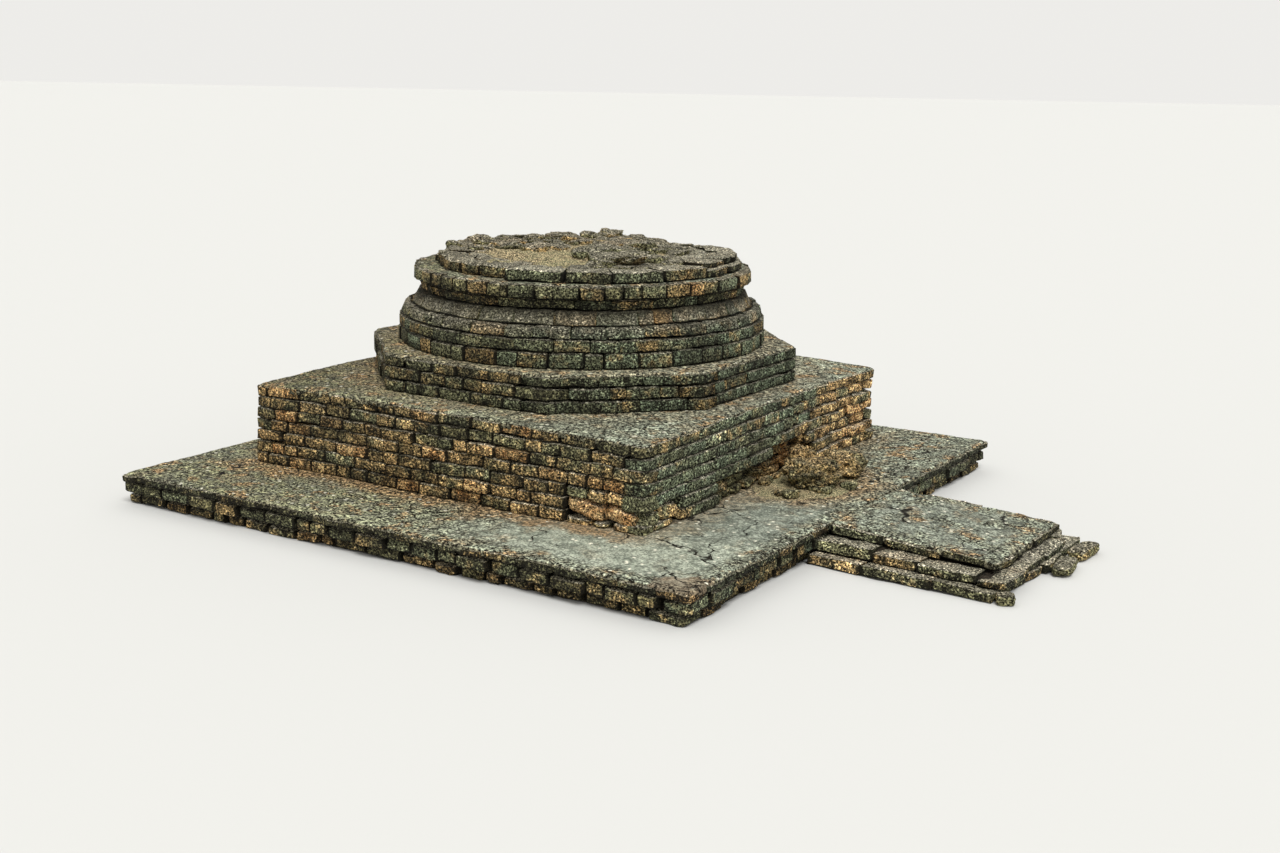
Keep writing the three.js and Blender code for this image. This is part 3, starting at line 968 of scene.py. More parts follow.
def crust_column(p, way, out, height, lip, thick, relief, inner_steps):
    """The points of a crust along one line: up its outer side, over the rolled edge, inwards and down.
    Each ends with its distance from the outer edge."""
    square = max(0.3, -way.normalized().dot(out))
    reaches = [away / square for away in LIP_STEPS]
    rest = way.length - reaches[-1]
    reaches += [reaches[-1] + rest * (k + 1) / inner_steps for k in range(inner_steps)]
    lip_foot = height(p.x, p.y) - lip
    column = [(p.x, p.y, lip_foot - thick, 0.0), (p.x, p.y, lip_foot - thick * 0.4, 0.0)]
    for reach in reaches:
        spot = p + way.normalized() * reach
        away = reach * square
        roll = lip - math.sqrt(max(0.0, lip * lip - (lip - away) ** 2)) if away < lip else 0.0
        rough = noise.fractal((spot.x * 3, spot.y * 3, 1.7), 0.6, 2.2, 4) * relief
        rough += noise.noise((spot.x * 17, spot.y * 17, 4.0)) * relief
        column.append((spot.x, spot.y, height(spot.x, spot.y) - roll + rough, away))
    x, y, z, away = column[-1]
    column.append((x, y, z - thick - lip, away))
    return column


def crust(name, outer, inner, height, stone, nodes=(), slot="weathered_paving",
          lips=lambda x, y: FULL_LIP, thick=0.03, step=CRUST_STEP, relief=0.005, ragged=0.35, wall=True):
    """A worn upper surface between two outlines, rolled over at its outer edge. Closed all round.
    lips is the height of the rolled edge at a place, thick that of the side below it, relief that of
    the lumps, and ragged how far the edge wavers. wall says that masonry rises from the inner edge."""
    count = len(outer)
    outer = [p - outward_at(outer, i) * lips(p.x, p.y) * 0.4 for i, p in enumerate(outer)]
    width = np.median([(q - p).length for p, q in zip(outer, inner)])
    inner_steps = max(3, int(width / step))
    rows = []
    for i, p in enumerate(outer):
        out = outward_at(outer, i)
        lip = lips(p.x, p.y)
        p = p + out * edge_waver(p) * ragged * lip
        rows.append(crust_column(p, inner[i] - p, out, height, lip, thick, relief, inner_steps))
    depth = len(rows[0])
    faces = []
    for i in range(count):
        for k in range(depth):
            a, b = i * depth, (i + 1) % count * depth
            above = (k + 1) % depth
            faces.append((a + k, b + k, b + above, a + above))
    points = [point for column in rows for point in column]
    edges = [point[3] for point in points]
    feet = [column[-1][3] - point[3] if wall else NO_WALL for column in rows for point in column]
    mesh = bpy.data.meshes.new(name)
    mesh.from_pydata([point[:3] for point in points], [], faces)
    for field, values in (("edge", edges), ("foot", feet)):
        mesh.attributes.new(field, "FLOAT", "POINT").data.foreach_set("value", values)
    mesh.polygons.foreach_set("use_smooth", [True] * len(faces))
    mesh.materials.append(stone)
    return stand(name, mesh, nodes, slot)


def hearting(name, loop, low, high, inset):
    """The core behind the blocks of a tier, near-black as painted shade where it is seen through their open
    joints. Closed all round.
    """
    count = len(loop)
    vertices = []
    for z in np.linspace(low, high, CORE_LAYERS + 1):
        for i, p in enumerate(loop):
            lump = noise.noise((p.x * 6, p.y * 6, z * 6)) * 0.03
            spot = p - outward_at(loop, i) * (inset + lump)
            vertices.append((spot.x, spot.y, z))
    last_layer = CORE_LAYERS * count
    faces = [tuple(reversed(range(count))), tuple(range(last_layer, last_layer + count))]
    for k in range(CORE_LAYERS):
        for i in range(count):
            j = (i + 1) % count
            faces.append((k * count + i, k * count + j, (k + 1) * count + j, (k + 1) * count + i))
    mesh = bpy.data.meshes.new(name)
    mesh.from_pydata(vertices, [], faces)
    mesh.materials.append(joint_earth_painted_shade)
    return stand(name, mesh, slot="earth_fill")


# Loose and broken stones

# Scale and height of the small pits on every stone, and scale of the lumps on some
PIT_SCALE, PIT_HEIGHT = 26, 0.006
LUMP_SCALE = 14


def add_stone(builder, layers, stone, cuts):
    """Adds one weathered stone: a blunted block with lumps, chips and pits, closed."""
    fresh = bmesh.new()
    bmesh.ops.create_cube(fresh, size=2.0)
    bmesh.ops.subdivide_edges(fresh, edges=fresh.edges[:], cuts=cuts, use_grid_fill=True)
    blunt = stone.get("blunt", 3.6)
    rough = stone.get("rough", 0.12)
    seed = stone["seed"]
    drift = Vector((seed * 3.1, seed * 1.7, seed * 0.9))
    half = Vector(stone["size"]) / 2
    turn, pitch, roll = (Matrix.Rotation(stone.get(key, 0.0), 3, axis)
                         for key, axis in (("turn", "Z"), ("pitch", "Y"), ("roll", "X")))
    turned = turn @ pitch @ roll
    centre = Vector(stone["at"])
    floor_height = stone.get("floor", -1.0)
    for vertex in fresh.verts:
        p = vertex.co.copy()
        p /= (abs(p.x) ** blunt + abs(p.y) ** blunt + abs(p.z) ** blunt) ** (1 / blunt)
        q = Vector((p.x * half.x, p.y * half.y, p.z * half.z))
        swell = noise.fractal(p * 1.1 + drift, 0.8, 2.0, 3) + 0.4 * noise.noise(p * 3.7 + drift)
        q *= 1.0 + rough * (swell - stone.get("worn", 0.4))
        q += q.normalized() * noise.noise(q * PIT_SCALE + drift) * PIT_HEIGHT
        q += q.normalized() * noise.noise(q * LUMP_SCALE + drift) * stone.get("lumps", 0.0)
        q = centre + turned @ q
        vertex.co = (q.x, q.y, max(q.z, floor_height + 0.001))
    bmesh.ops.recalc_face_normals(fresh, faces=fresh.faces[:])
    rng = random.Random(seed)
    values = {"warm": clamp(stone.get("warm", 0.4) + rng.gauss(0, 0.08)),
              "damp": clamp(stone.get("damp", 0.25) + rng.gauss(0, 0.08)),
              "grime": stone.get("grime", 0.1), "seed": rng.random(), "rim": 1.0}
    copies = {}
    for vertex in fresh.verts:
        copy = builder.verts.new(vertex.co)
        for field, value in values.items():
            copy[layers[field]] = value
        copies[vertex] = copy
    for face in fresh.faces:
        builder.faces.new([copies[v] for v in face.verts]).smooth = True
    fresh.free()


def stones(name, found, nodes=(), slot="laterite", cuts=9, finish=laterite):
    """One piece of many stones. Each has at, size and seed, and may have turn, pitch, roll and tones."""
    builder = bmesh.new()
    layers = {field: builder.verts.layers.float.new(field) for field in (*TONES, "rim")}
    for stone in found:
        add_stone(builder, layers, stone, cuts)
    mesh = bpy.data.meshes.new(name)
    builder.to_mesh(mesh)
    builder.free()
    mesh.materials.append(finish)
    return stand(name, mesh, nodes, slot)


def strewn(rng, count, arc, ring, heights):
    """Angle, distance from the middle and height of each stone of a strewn lot."""
    for _ in range(count):
        yield rng.uniform(*arc), rng.uniform(*ring), rng.uniform(*heights)


def packed_stone(node, seed, **tones):
    """A stone that fills the box of a packed one, with its turn."""
    places = np.array([v.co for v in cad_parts[node].data.vertices])
    low, high = places.min(axis=0), places.max(axis=0)
    centre = (low + high) / 2
    spread = places[:, :2] - centre[:2]
    _, axes = np.linalg.eigh(np.cov(spread.T))
    length, width = 2 * np.abs(spread @ axes).max(axis=0)
    return {"at": tuple(centre), "size": (length, width, high[2] - low[2]), "seed": seed,
            "floor": low[2], "turn": math.atan2(axes[1, 0], axes[0, 0]), **tones}


def nodes_named(start):
    """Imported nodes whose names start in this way, in order."""
    return [name for name in sorted(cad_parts) if name.startswith(start)]


# Square platform: node, tone, how far its blocks reach out on the left, look
PLATFORM = [
    ("platform_foot_course", "platform_foot", 0.075, SUNK),
    ("platform_middle_course", "platform", 0.065,
     {**SUNK, "back": -0.012, "joint": 0.012, "soft": 0.036}),
    ("platform_paving_course", "platform", -0.010,
     {**MERGED, "soft": 0.030, "uneven": 1.0, "joint": 0.005, "apart": 0.5}),
]
# How far the crust reaches out on the left, how much thicker its rolled edge is there, and from which x
LEFT_REACH = 0.025
LEFT_LIP = 0.018
LEFT_FROM = -1.5
# The stretch of the porch side, along y, where the porch joins without an edge
PORCH_JOIN = [corner[1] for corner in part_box("porch_paving_course")]


def platform_lip(x, y):
    """Height of the rolled edge: almost none where the porch joins, more towards the left."""
    if x > PAVING_HIGH[0] - 0.1 and PORCH_JOIN[0] < y < PORCH_JOIN[1]:
        return FLUSH_LIP
    return FULL_LIP + LEFT_LIP * clamp(LEFT_FROM - x)


def build_platform():
    for k, (name, tier, reach, look) in enumerate(PLATFORM):
        low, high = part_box(name)
        low = (low[0] - reach, *low[1:])
        cover = CRUST_COVER if name == "platform_paving_course" else 0.0
        courses = Courses(seed=100 + k)
        straight_wall(courses, rectangle(low, high), level_bed(low[2]), level_bed(high[2] - cover),
                      alternate(k), tier, look, depth=0.30, mean=0.36, share=0.2)
        lay(name + "_blocks", courses, laterite, [name], Unevenness=0.021, Seed=3.0 + k,
            Corner_radius=0.05, **plan_of(low, high))
    core = rounded(rectangle(PAVING_LOW, PAVING_HIGH), radius=0.10, step=CORE_STEP)
    hearting("platform_hearting", core, low=0.0, high=PAVING_TOP - 0.05, inset=0.17)
    low, high = (PAVING_LOW[0] - LEFT_REACH, PAVING_LOW[1]), PAVING_HIGH
    outer = rounded(rectangle(low, high), radius=0.12, step=CRUST_STEP)
    centre = Vector(((low[0] + high[0]) / 2, (low[1] + high[1]) / 2))
    under_plinth = [Vector((x * UNDER_PLINTH, y * UNDER_PLINTH))
                    for x, y in rectangle(PLINTH_LOW, PLINTH_HIGH)]
    crust("platform_crust", outer, inwards(outer, centre, under_plinth),
          settled_bed(level_bed(PAVING_TOP)), paving_crust, lips=platform_lip)


# Square plinth, with the robbed-out place on the porch side and the broken foot of the near corner

PLINTH_COURSES = 7
NEAR_SIDE, PORCH_SIDE = 0, 1
PLINTH_LOOKS = [NEAT, MERGED, NEAT, NEAT]
# The robbed-out place along y, from and to, in the two lowest courses and in the third
POCKET_LOW = (-1.30, 0.95)
POCKET_HIGH = (-0.10, 0.76)
# Nodes that the blocks of a course also stand for
FACING = {0: ["facing_low_near", "facing_low_far"], 2: ["facing_high_near", "facing_high_far"]}
# Where the broken foot begins on the near side, and ends on the porch side
CORNER_BREAK_X = 1.67
CORNER_BREAK_Y = -2.03
# Beyond this y the blocks of the porch side are worn back
RAGGED_FROM = 0.35
# Distances along a side that lie before its start and past its end
BEFORE_START, PAST_END = -1.0, 9.0
# Depth of the stones of the broken foot, and how far behind the two faces their middles lie
CORNER_DEPTH, NEAR_INSET, PORCH_INSET = 0.27, 0.13, 0.14
# Stones of the broken foot: along the wall, height of the middle above the platform, length, height,
# how far they sink towards the corner in degrees, and how fresh they are
NEAR_CORNER_STONES = [
    (1.920, 0.165, 0.47, 0.165, 8, 1.00),
    (2.330, 0.150, 0.36, 0.150, 9, 0.90),
    (2.340, 0.045, 0.20, 0.085, 2, 0.62),
    (1.830, 0.030, 0.34, 0.070, 0, 0.45),
    (2.090, 0.035, 0.18, 0.060, 0, 0.35),
    (1.795, 0.325, 0.24, 0.120, 2, 0.22),
    (2.035, 0.315, 0.24, 0.130, 3, 0.55),
    (2.270, 0.325, 0.24, 0.140, 4, 0.50),
]
PORCH_CORNER_STONES = [
    (-2.570, 0.135, 0.27, 0.150, -4, 0.35),
    (-2.260, 0.150, 0.38, 0.165, -6, 0.42),
    (-2.350, 0.035, 0.40, 0.075, 0, 0.30),
]


def plinth_breaks(course):
    """Broken stretches of a course, by side, as distances from the side's first corner."""
    breaks = {NEAR_SIDE: [], PORCH_SIDE: []}
    if course < 3:
        breaks[NEAR_SIDE].append((CORNER_BREAK_X - PLINTH_LOW[0], PAST_END))
        pocket = POCKET_LOW if course < 2 else POCKET_HIGH
        breaks[PORCH_SIDE].append(tuple(y - PLINTH_LOW[1] for y in pocket))
    if course < 2:
        breaks[PORCH_SIDE].append((BEFORE_START, CORNER_BREAK_Y - PLINTH_LOW[1]))
    return breaks


def corner_stones():
    """Stones of the broken foot of the near corner, on both of its faces."""
    found = []
    face_y, face_x = PLINTH_LOW[1], PLINTH_HIGH[0]
    for k, (x, z, length, height, sink, warm) in enumerate(NEAR_CORNER_STONES):
        found.append({"at": (x, face_y + NEAR_INSET, PAVING_TOP + z), "size": (length, CORNER_DEPTH, height),
                      "pitch": math.radians(sink), "seed": 20 + k,
                      "warm": warm, "grime": -1.1 * warm, "blunt": 4.0})
    for k, (y, z, length, height, sink, warm) in enumerate(PORCH_CORNER_STONES):
        found.append({"at": (face_x - PORCH_INSET, y, PAVING_TOP + z), "size": (CORNER_DEPTH, length, height),
                      "roll": math.radians(sink), "seed": 40 + k,
                      "warm": warm, "damp": 0.4, "grime": -1.4 * warm, "blunt": 4.0})
    found.append({"at": (face_x - 0.14, face_y + 0.14, PAVING_TOP + 0.300), "size": (0.30, 0.30, 0.185),
                  "seed": 50, "warm": 0.05, "damp": 0.5, "blunt": 5.0})
    found.append({"at": (face_x - 0.12, face_y + 0.12, PAVING_TOP + 0.045), "size": (0.24, 0.24, 0.10),
                  "seed": 51, "warm": 0.15, "damp": 0.3, "blunt": 4.0})
    return found


def wear_back(courses):
    """Rounds, tips and sets back the far blocks of the porch side."""
    rng = courses.rng
    for row in courses.rows:
        x, y, z = row["place"]
        if x > PLINTH_HIGH[0] - 0.30 and y > RAGGED_FROM:
            row["soft"] = tuple(min(0.036, radius * 1.3) for radius in row["soft"])
            row["place"] = (x - rng.uniform(0.0, 0.045), y, z + rng.uniform(-0.008, 0.008))
            row["tip"] = tuple(angle * 3.5 for angle in row["tip"])
            row["apart"] = 0.55


def build_plinth():
    corners = rectangle(PLINTH_LOW, PLINTH_HIGH)
    for k in range(PLINTH_COURSES):
        name = f"plinth_course_{k + 1}"
        last = k == PLINTH_COURSES - 1
        courses = Courses(seed=200 + k)
        straight_wall(courses, corners, level_bed(BOTTOM[name]),
                      level_bed(TOP[name] - (CRUST_COVER if last else 0.0)),
                      alternate(k), "plinth", PLINTH_LOOKS, depth=0.24, mean=0.38, breaks=plinth_breaks(k))
        if not last:
            wear_back(courses)
        lay(name + "_blocks", courses, laterite, [name] + FACING.get(k, []), Unevenness=0.018, Seed=9.0 + k,
            Corner_radius=0.035 + 0.015 * k, **plan_of(PLINTH_LOW, PLINTH_HIGH))
    core = rounded(corners, radius=0.10, step=CORE_STEP)
    hearting("plinth_hearting", core, low=PAVING_TOP - 0.02, high=PLINTH_HIGH[2] - 0.07, inset=0.20)
    stones("near_corner_stones", corner_stones(), cuts=11)
    outer = rounded(corners, radius=0.14, step=CRUST_STEP)
    under_octagon = shrunk([Vector(p) for p in octagon_corners()], UNDER_OCTAGON)
    crust("plinth_crust", outer, inwards(outer, AXIS, under_octagon),
          settled_bed(level_bed(PLINTH_HIGH[2])), paving_crust)


# Worn stones left in the robbed-out place: node and number of rough courses
WORN_STONES = (("worn_stones_low", 3), ("worn_stones_high", 1))
WORN_LENGTHS, WORN_DEPTHS = (0.16, 0.42), (0.22, 0.30)


def worn_front(node, depth=0.03):
    """Front edge of a packed group of worn stones, from its near to its far end."""
    corners = {(round(v.co.y, 3), round(v.co.x, 3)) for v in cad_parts[node].data.vertices}
    back = min(x for _, x in corners)
    return [Vector((x + depth, y)) for y, x in sorted(corners) if x > back + 0.02]


def build_worn_stones():
    """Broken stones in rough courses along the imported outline."""
    for k, (name, rows) in enumerate(WORN_STONES):
        rng = random.Random(700 + k)
        front = worn_front(name)
        ys = [p.y for p in front]
        xs = [p.x for p in front]
        found = []
        tall = (TOP[name] - BOTTOM[name]) / rows
        for row in range(rows):
            y = ys[0]
            while y < ys[-1] - 0.05:
                length = min(rng.uniform(*WORN_LENGTHS), ys[-1] - y)
                x = np.interp(y + length / 2, ys, xs) - 0.03 * row + rng.uniform(-0.03, 0.03)
                depth = rng.uniform(*WORN_DEPTHS)
                z = BOTTOM[name] + tall * (row + 0.5) + rng.uniform(-0.01, 0.01)
                found.append({
                    "at": (x - depth / 2, y + length / 2, z),
                    "size": (depth, length + 0.02, tall * rng.uniform(0.95, 1.25)),
                    "seed": 700 + len(found) + 40 * k,
                    "roll": rng.gauss(0, 0.10), "pitch": rng.gauss(0, 0.10), "turn": rng.gauss(0, 0.15),
                    "rough": 0.24, "blunt": 3.0, "damp": 0.3, "grime": 0.4 * clamp((0.3 - y) / 0.8),
                    "warm": 0.10 + 0.45 * clamp((y + 0.7) / 0.8) + rng.uniform(0.0, 0.25)})
                y += length
        stones(name + "_rough", found, [name], "fresh_laterite", finish=broken_laterite)


# Octagonal tier

def octagon_corners():
    """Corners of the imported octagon, counter-clockwise."""
    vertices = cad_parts["octagon_course_1"].data.vertices
    corners = {(round(v.co.x, 4), round(v.co.y, 4)) for v in vertices}
    return sorted(corners, key=lambda p: math.atan2(p[1], p[0]))


def build_octagon():
    corners = octagon_corners()
    looks = []
    for a, b in zip(corners, corners[1:] + corners[:1]):
        looks.append(MERGED if a[0] + b[0] > 0.5 else {**NEAT, "tight": 0.5, "joint": 0.004})
    for k in range(3):
        name = f"octagon_course_{k + 1}"
        cover = CRUST_COVER if k == 2 else 0.0
        courses = Courses(seed=300 + k)
        straight_wall(courses, corners, level_bed(BOTTOM[name]), level_bed(TOP[name] - cover), alternate(k),
                      "octagon", looks, depth=0.20, mean=0.42)
        lay(name + "_blocks", courses, laterite, [name], Unevenness=0.018, Seed=20.0 + k)
    top = TOP["octagon_course_3"]
    core = rounded(corners, radius=0.1, step=CORE_STEP)
    hearting("octagon_hearting", core, low=PLINTH_HIGH[2] - 0.02, high=top - 0.07, inset=0.15)
    outer = rounded(corners, radius=0.08, step=CRUST_STEP)
    under_drum = [p.normalized() * UNDER_DRUM for p in outer]
    crust("octagon_crust", outer, under_drum, settled_bed(level_bed(top)), paving_crust)


# Round mouldings: node, radius at mid height, lean from bottom to top, belly, block length, tone, look
SMOOTH = {**MERGED, "soft": 0.012, "bed": 0.004}
SQUARE = {**NEAT, "soft": 0.026, "joint": 0.003}
ROUND = [
    ("round_base_course", 2.106, 0.0, 0.006, 0.34, "drum", {**NEAT, "soft": 0.024}),
    ("round_middle_course", 2.100, -0.006, 0.006, 0.36, "drum", {**MERGED, "joint": 0.004, "apart": 0.4}),
    ("round_shoulder_course", 2.056, -0.085, 0.016, 0.36, "drum", MERGED),
    ("sloping_course", 1.915, -0.150, 0.004, 0.40, "slope", SMOOTH),
    ("rim_lower_course", 1.865, 0.060, 0.004, 0.38, "rim", MERGED),
    ("rim_upper_course", 1.920, -0.010, 0.022, 0.25, "rim", SQUARE),
]
# Radii of the two cores, before their inset, and of the crusted ledge on the rim
DRUM_CORE, RIM_CORE = 2.0, 1.75
LEDGE_OUTER, LEDGE_INNER = 1.905, 1.50


def build_round():
    for k, (name, radius, lean, belly, mean, tier, look) in enumerate(ROUND):
        courses = Courses(seed=400 + k)
        round_wall(courses, radius, BOTTOM[name], TOP[name] - BOTTOM[name], tier, look,
                   lean=lean, belly=belly, mean=mean)
        stone = rain_worn if tier == "slope" else laterite
        lay(name + "_blocks", courses, stone, [name], Unevenness=0.016, Seed=30.0 + k)
    shoulder = TOP["round_shoulder_course"]
    rim = TOP["rim_upper_course"]
    hearting("drum_hearting", circle(DRUM_CORE, CORE_STEP), low=TOP["octagon_course_3"] - 0.02,
             high=shoulder - 0.02, inset=0.08)
    hearting("rim_hearting", circle(RIM_CORE, CORE_STEP), low=shoulder - 0.03, high=rim - 0.03, inset=0.06)
    outer = circle(LEDGE_OUTER, CRUST_STEP)
    inner = circle(LEDGE_INNER, CRUST_STEP * LEDGE_INNER / LEDGE_OUTER)
    crust("rim_ledge", outer, inner, settled_bed(level_bed(rim)), paving_crust, wall=False)


# Broken course above the rim: for each slab its layers as set-back and share of height, block length
# and how fresh its stones are
CAP_LAYERS = {
    "cap_slab_front": ([(0.0, 0.0, 1.0)], 0.56, 0.10),
    "cap_slab_front_right": ([(0.0, 0.0, 1.0)], 0.50, 0.12),
    "cap_slab_right": ([(0.0, 0.0, 0.58), (0.08, 0.52, 1.0)], 0.50, 0.10),
    "cap_slab_back": ([(0.0, 0.0, 1.0)], 0.36, 0.30),
    "cap_slab_left": ([(0.0, 0.0, 0.60), (0.11, 0.52, 1.0)], 0.34, 0.36),
    "cap_slab_front_left": ([(0.0, 0.0, 1.0)], 0.40, 0.30),
}
CAP_LOOK = {**LOOSE, "soft": 0.030, "joint": 0.010, "bed": 0.008, "uneven": 1.4}
# Heights of the bed of the broken course, and of the top of its slabs at the back
CAP_BASE = TOP["rim_upper_course"]
CAP_BACK = TOP["cap_slab_back"]
# Outline of the earth, and the distance between its points
EARTH_RADIUS, EARTH_STEP = 1.50, 0.045
# Stones in the earth, and on the slabs at its back
EARTH_RUBBLE = {"count": 70, "arc": (-1.0, 3.6), "ring": (0.35, 1.42), "heights": (0.08, 0.15)}
BACK_RUBBLE = {"count": 22, "arc": (1.7, 3.5), "ring": (1.25, 1.62), "heights": (0.08, 0.14)}


def slab_arc(name):
    """Radius of a packed slab and the arc that it covers."""
    places = np.array([v.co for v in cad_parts[name].data.vertices])
    reach = np.hypot(places[:, 0], places[:, 1])
    rim = places[reach > reach.max() - 0.01]
    middle = math.atan2(rim[:, 1].mean(), rim[:, 0].mean())
    turns = (np.arctan2(rim[:, 1], rim[:, 0]) - middle + math.pi) % TURN - math.pi
    return reach.max(), (middle + turns.min(), middle + turns.max())


def build_cap_slabs():
    """The slabs, as blocks in one or two layers with another row behind them."""
    for k, (name, (layers, mean, warm)) in enumerate(CAP_LAYERS.items()):
        radius, arc = slab_arc(name)
        height = TOP[name] - CAP_BASE
        courses = Courses(seed=500 + k)
        for back, low, high in layers:
            round_wall(courses, radius - 0.012 - back, CAP_BASE + height * low, height * (high - low), "cap",
                       CAP_LOOK, depth=0.34, mean=mean, share=0.15, arc=arc)
        round_wall(courses, radius - 0.36, CAP_BASE, height - 0.015, "cap", CAP_LOOK, depth=0.30, mean=0.4,
                   arc=arc)
        for row in courses.rows:
            row["warm"] = clamp(row["warm"] + warm - TIER_TONES["cap"][0])
        lay(name + "_blocks", courses, cap_laterite, [name], "weathered_paving", Unevenness=0.022,
            Seed=50.0 + k)


def cap_mound(x, y):
    """Height of the earth on the top."""
    core = TOP["cap_rubble_core"]
    lumps = noise.fractal((x * 2.6, y * 2.6, 5.0), 0.7, 2.0, 4) * 0.04
    return core - 0.035 - 0.045 * (math.hypot(x, y) / 1.4) ** 2 + lumps + settled(x, y, core)


def cap_stones():
    """Rubble in the earth on the top, and on the slabs at its back."""
    rng = random.Random(900)
    found = []
    for k, (angle, reach, tall) in enumerate(strewn(rng, **EARTH_RUBBLE)):
        x, y = reach * math.cos(angle), reach * math.sin(angle)
        found.append({
            "at": (x, y, cap_mound(x, y) + tall * 0.12),
            "size": (rng.uniform(0.2, 0.36), rng.uniform(0.26, 0.5), tall), "seed": 900 + k,
            "turn": angle + rng.gauss(0, 0.35), "pitch": rng.gauss(0, 0.1), "roll": rng.gauss(0, 0.1),
            "warm": clamp(0.05 + 0.3 * math.sin(angle * 0.6)), "damp": 0.3, "rough": 0.2})
    found.append({"at": (-0.77, 1.275, CAP_BACK + 0.03), "size": (0.26, 0.30, 0.16), "seed": 899,
                  "turn": 0.5, "pitch": 0.1, "warm": 0.15, "damp": 0.2, "rough": 0.28, "blunt": 2.6})
    for k, (angle, reach, tall) in enumerate(strewn(rng, **BACK_RUBBLE)):
        x, y = reach * math.cos(angle), reach * math.sin(angle)
        found.append({
            "at": (x, y, CAP_BACK + tall * 0.1),
            "size": (rng.uniform(0.16, 0.3), rng.uniform(0.2, 0.34), tall), "seed": 1000 + k,
            "turn": rng.uniform(0, 3), "pitch": rng.gauss(0, 0.15), "roll": rng.gauss(0, 0.15),
            "warm": rng.uniform(0.15, 0.4), "damp": 0.2, "rough": 0.25, "blunt": 2.8})
    return found


def build_cap():
    build_cap_slabs()
    for k, name in enumerate(nodes_named("loose_cap_stone")):
        stone = packed_stone(name, seed=63 + k, warm=0.35, rough=0.34, blunt=2.6, pitch=0.12)
        stones(name + "_rough", [stone], [name], "weathered_paving", cuts=14)
    outer = circle(EARTH_RADIUS, EARTH_STEP)
    crust("cap_earth", outer, shrunk(outer, CLOSED), cap_mound, fill_earth, ["cap_rubble_core"],
          "earth_fill", relief=0.025, step=EARTH_STEP)
    stones("cap_rubble", cap_stones(), slot="weathered_paving", cuts=7)


# Porch: node and look
PORCH = [
    ("porch_foot_course", BROAD),
    ("porch_middle_course", BROAD),
    ("porch_paving_course", {**BROAD, "soft": 0.020, "joint": 0.010}),
]


def porch_crust(ring, centre, high):
    """The crust of the porch's paving, flush with the platform's where they join."""
    outer = rounded(ring, radius=0.07, step=CRUST_STEP)
    inner_x = min(p.x for p in outer)
    crust("porch_crust", outer, shrunk(outer, CLOSED, centre), settled_bed(high), paving_crust,
          lips=lambda x, y: FLUSH_LIP if x < inner_x + 0.02 else FULL_LIP, ragged=1.2, wall=False)


def build_porch():
    for k, (name, look) in enumerate(PORCH):
        ring, low, high = outline_of(name)
        start = min(range(len(ring)), key=lambda i: ring[i][0] * 10 + ring[i][1])
        ring = ring[start:] + ring[:start]
        centre = sum(ring, Vector((0, 0))) / len(ring)
        paving = name == "porch_paving_course"
        courses = Courses(seed=600 + k)
        straight_wall(courses, ring, low, lowered(high, CRUST_COVER if paving else 0.0), alternate(k),
                      "porch", look, depth=0.30, mean=0.55, share=0.15, closed=False)
        lay(name + "_blocks", courses, laterite, [name], Unevenness=0.022, Seed=70.0 + k)
        if paving:
            porch_crust(ring, centre, high)
        else:
            outer = shrunk(rounded(ring, radius=0.05, step=CORE_STEP), 0.93, centre)
            # A bed under the next course, near-black as painted shade seen through the joints
            crust(name + "_bed", outer, shrunk(outer, CLOSED, centre), lowered(high, 0.02), joint_earth_painted_shade,
                  slot="earth_fill", step=0.12, wall=False)
    loose = nodes_named("porch_corner_stone") + nodes_named("porch_end_stone")
    for k, name in enumerate(loose):
        stones(name + "_rough", [packed_stone(name, seed=90 + k, warm=0.15)], [name], cuts=14)


# Fallen blocks on the platform: node, how fresh and how grimy. Small rubble lies round them.
FALLEN = {
    "fallen_block_large": (0.44, 0.34),
    "fallen_block_middle": (0.52, -0.12),
    "fallen_block_upright": (0.48, 0.10),
}
HEAP_RUBBLE = {"count": 26, "arc": (0, TURN), "ring": (0.55, 1.1), "heights": (0.05, 0.16)}


def heap_mound(x, y):
    """Height of the earth round the fallen blocks."""
    away = ((x - HEAP_CENTRE[0]) / HEAP_HALF[0]) ** 2 + ((y - HEAP_CENTRE[1]) / HEAP_HALF[1]) ** 2
    lumps = noise.fractal((x * 5, y * 5, 2.0), 0.7, 2.0, 4) * 0.03
    rise = HEAP_HEIGHT * math.exp(-1.6 * away) * (1 + lumps * 8)
    return PAVING_TOP + 0.004 + rise - 0.02 * min(1.0, away)


def heap_stones():
    """Small rubble round the heap, in front of the wall."""
    rng = random.Random(950)
    found = []
    for k, (angle, reach, size) in enumerate(strewn(rng, **HEAP_RUBBLE)):
        x = HEAP_CENTRE[0] + HEAP_HALF[0] * reach * math.cos(angle)
        y = HEAP_CENTRE[1] + HEAP_HALF[1] * reach * math.sin(angle)
        found.append({
            "at": (max(x, PLINTH_HIGH[0] - 0.02), y, heap_mound(x, y) + size * 0.2),
            "size": (size * rng.uniform(0.8, 1.3), size * rng.uniform(0.8, 1.4), size * 0.7),
            "seed": 950 + k, "turn": rng.uniform(0, 3), "pitch": rng.gauss(0, 0.3),
            "warm": rng.uniform(0.2, 0.6), "rough": 0.2})
    return found


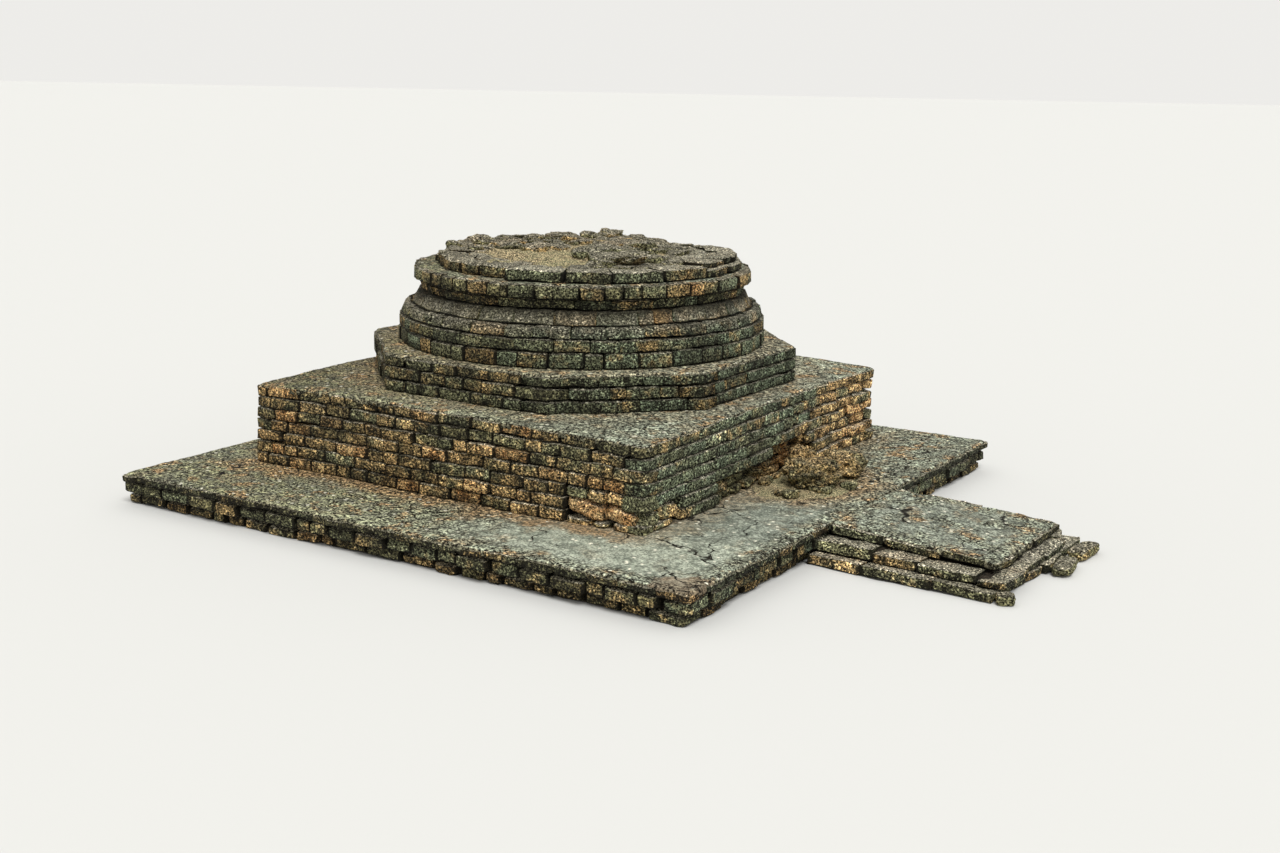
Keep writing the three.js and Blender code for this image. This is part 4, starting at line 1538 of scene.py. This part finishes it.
def build_fallen():
    """The fallen blocks, in a heap of earth and small rubble."""
    for k, (name, (warm, grime)) in enumerate(FALLEN.items()):
        stone = packed_stone(name, seed=80 + k, warm=warm, damp=0.1, grime=grime, rough=0.30, blunt=2.8,
                             worn=0.22, lumps=0.034)
        stones(name + "_rough", [stone], [name], "fresh_laterite", cuts=22, finish=broken_laterite)
    centre_x, centre_y = HEAP_CENTRE
    half_x, half_y = HEAP_HALF
    outer = [Vector((centre_x + p.x * half_x * 1.25, centre_y + p.y * half_y * 1.25))
             for p in circle(1.0, 0.06)]
    crust("heap_earth", outer, shrunk(outer, CLOSED, Vector(HEAP_CENTRE)), heap_mound, fill_earth,
          slot="earth_fill", lips=lambda x, y: 0.01, thick=0.02, relief=0.012, step=0.03, wall=False)
    stones("heap_rubble", heap_stones(), slot="fresh_laterite", cuts=5, finish=broken_laterite)


build_platform()
build_plinth()
build_worn_stones()
build_octagon()
build_round()
build_cap()
build_porch()
build_fallen()


# Floor, light and camera

FLOOR_REACH = 400.0
SUN_WAY = Vector((-0.42, 0.40, -0.82))
CAMERA_PLACE = (10.494, -15.545, 4.794)
# Rotation from the frame to the camera, as an axis whose length is the angle
CAMERA_TURN = Vector((1.7315, 0.5128, -0.3847))
# Focal length and width of the photograph in pixels, and width of the sensor in millimetres
FOCAL_PIXELS, PHOTO_WIDTH, SENSOR_WIDTH = 1620.6, 1280, 36

pale = bpy.data.materials.new("pale_floor")
pale.use_nodes = True
pale_inputs = pale.node_tree.nodes["Principled BSDF"].inputs
pale_inputs["Base Color"].default_value = (0.60, 0.60, 0.58, 1)
pale_inputs["Roughness"].default_value = 0.9
floor_mesh = bpy.data.meshes.new("floor")
floor_corners = rectangle((-FLOOR_REACH, -FLOOR_REACH), (FLOOR_REACH, FLOOR_REACH))
floor_mesh.from_pydata([(*corner, 0) for corner in floor_corners], [], [(0, 1, 2, 3)])
floor_mesh.materials.append(pale)
floor = bpy.data.objects.new("floor", floor_mesh)
bpy.context.scene.collection.objects.link(floor)
floor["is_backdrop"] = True

world = bpy.data.worlds.new("studio")
bpy.context.scene.world = world
world.use_nodes = True
sky = world.node_tree.nodes["Background"].inputs
sky["Color"].default_value = (1.0, 0.99, 0.96, 1)
sky["Strength"].default_value = 0.85

sun_data = bpy.data.lights.new("soft_sky", "SUN")
sun_data.energy = 2.4
sun_data.angle = math.radians(25)
sun = bpy.data.objects.new("soft_sky", sun_data)
sun.rotation_euler = SUN_WAY.to_track_quat("-Z", "Y").to_euler()
bpy.context.scene.collection.objects.link(sun)

camera_data = bpy.data.cameras.new("camera")
camera_data.sensor_width = SENSOR_WIDTH
camera_data.lens = FOCAL_PIXELS / PHOTO_WIDTH * SENSOR_WIDTH
camera_data.clip_end = 300
camera = bpy.data.objects.new("camera", camera_data)
to_view = Matrix.Diagonal((1, -1, -1)) @ Matrix.Rotation(CAMERA_TURN.length, 3, CAMERA_TURN.normalized())
camera.matrix_world = Matrix.Translation(CAMERA_PLACE) @ to_view.transposed().to_4x4()
bpy.context.scene.collection.objects.link(camera)
bpy.context.scene.camera = camera
bpy.context.scene.view_settings.view_transform = "Standard"

visual_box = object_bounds()
boxes = {"cad": cad_box, "visual": visual_box}
{key: [[float(v) for v in p] for p in box] for key, box in boxes.items()}
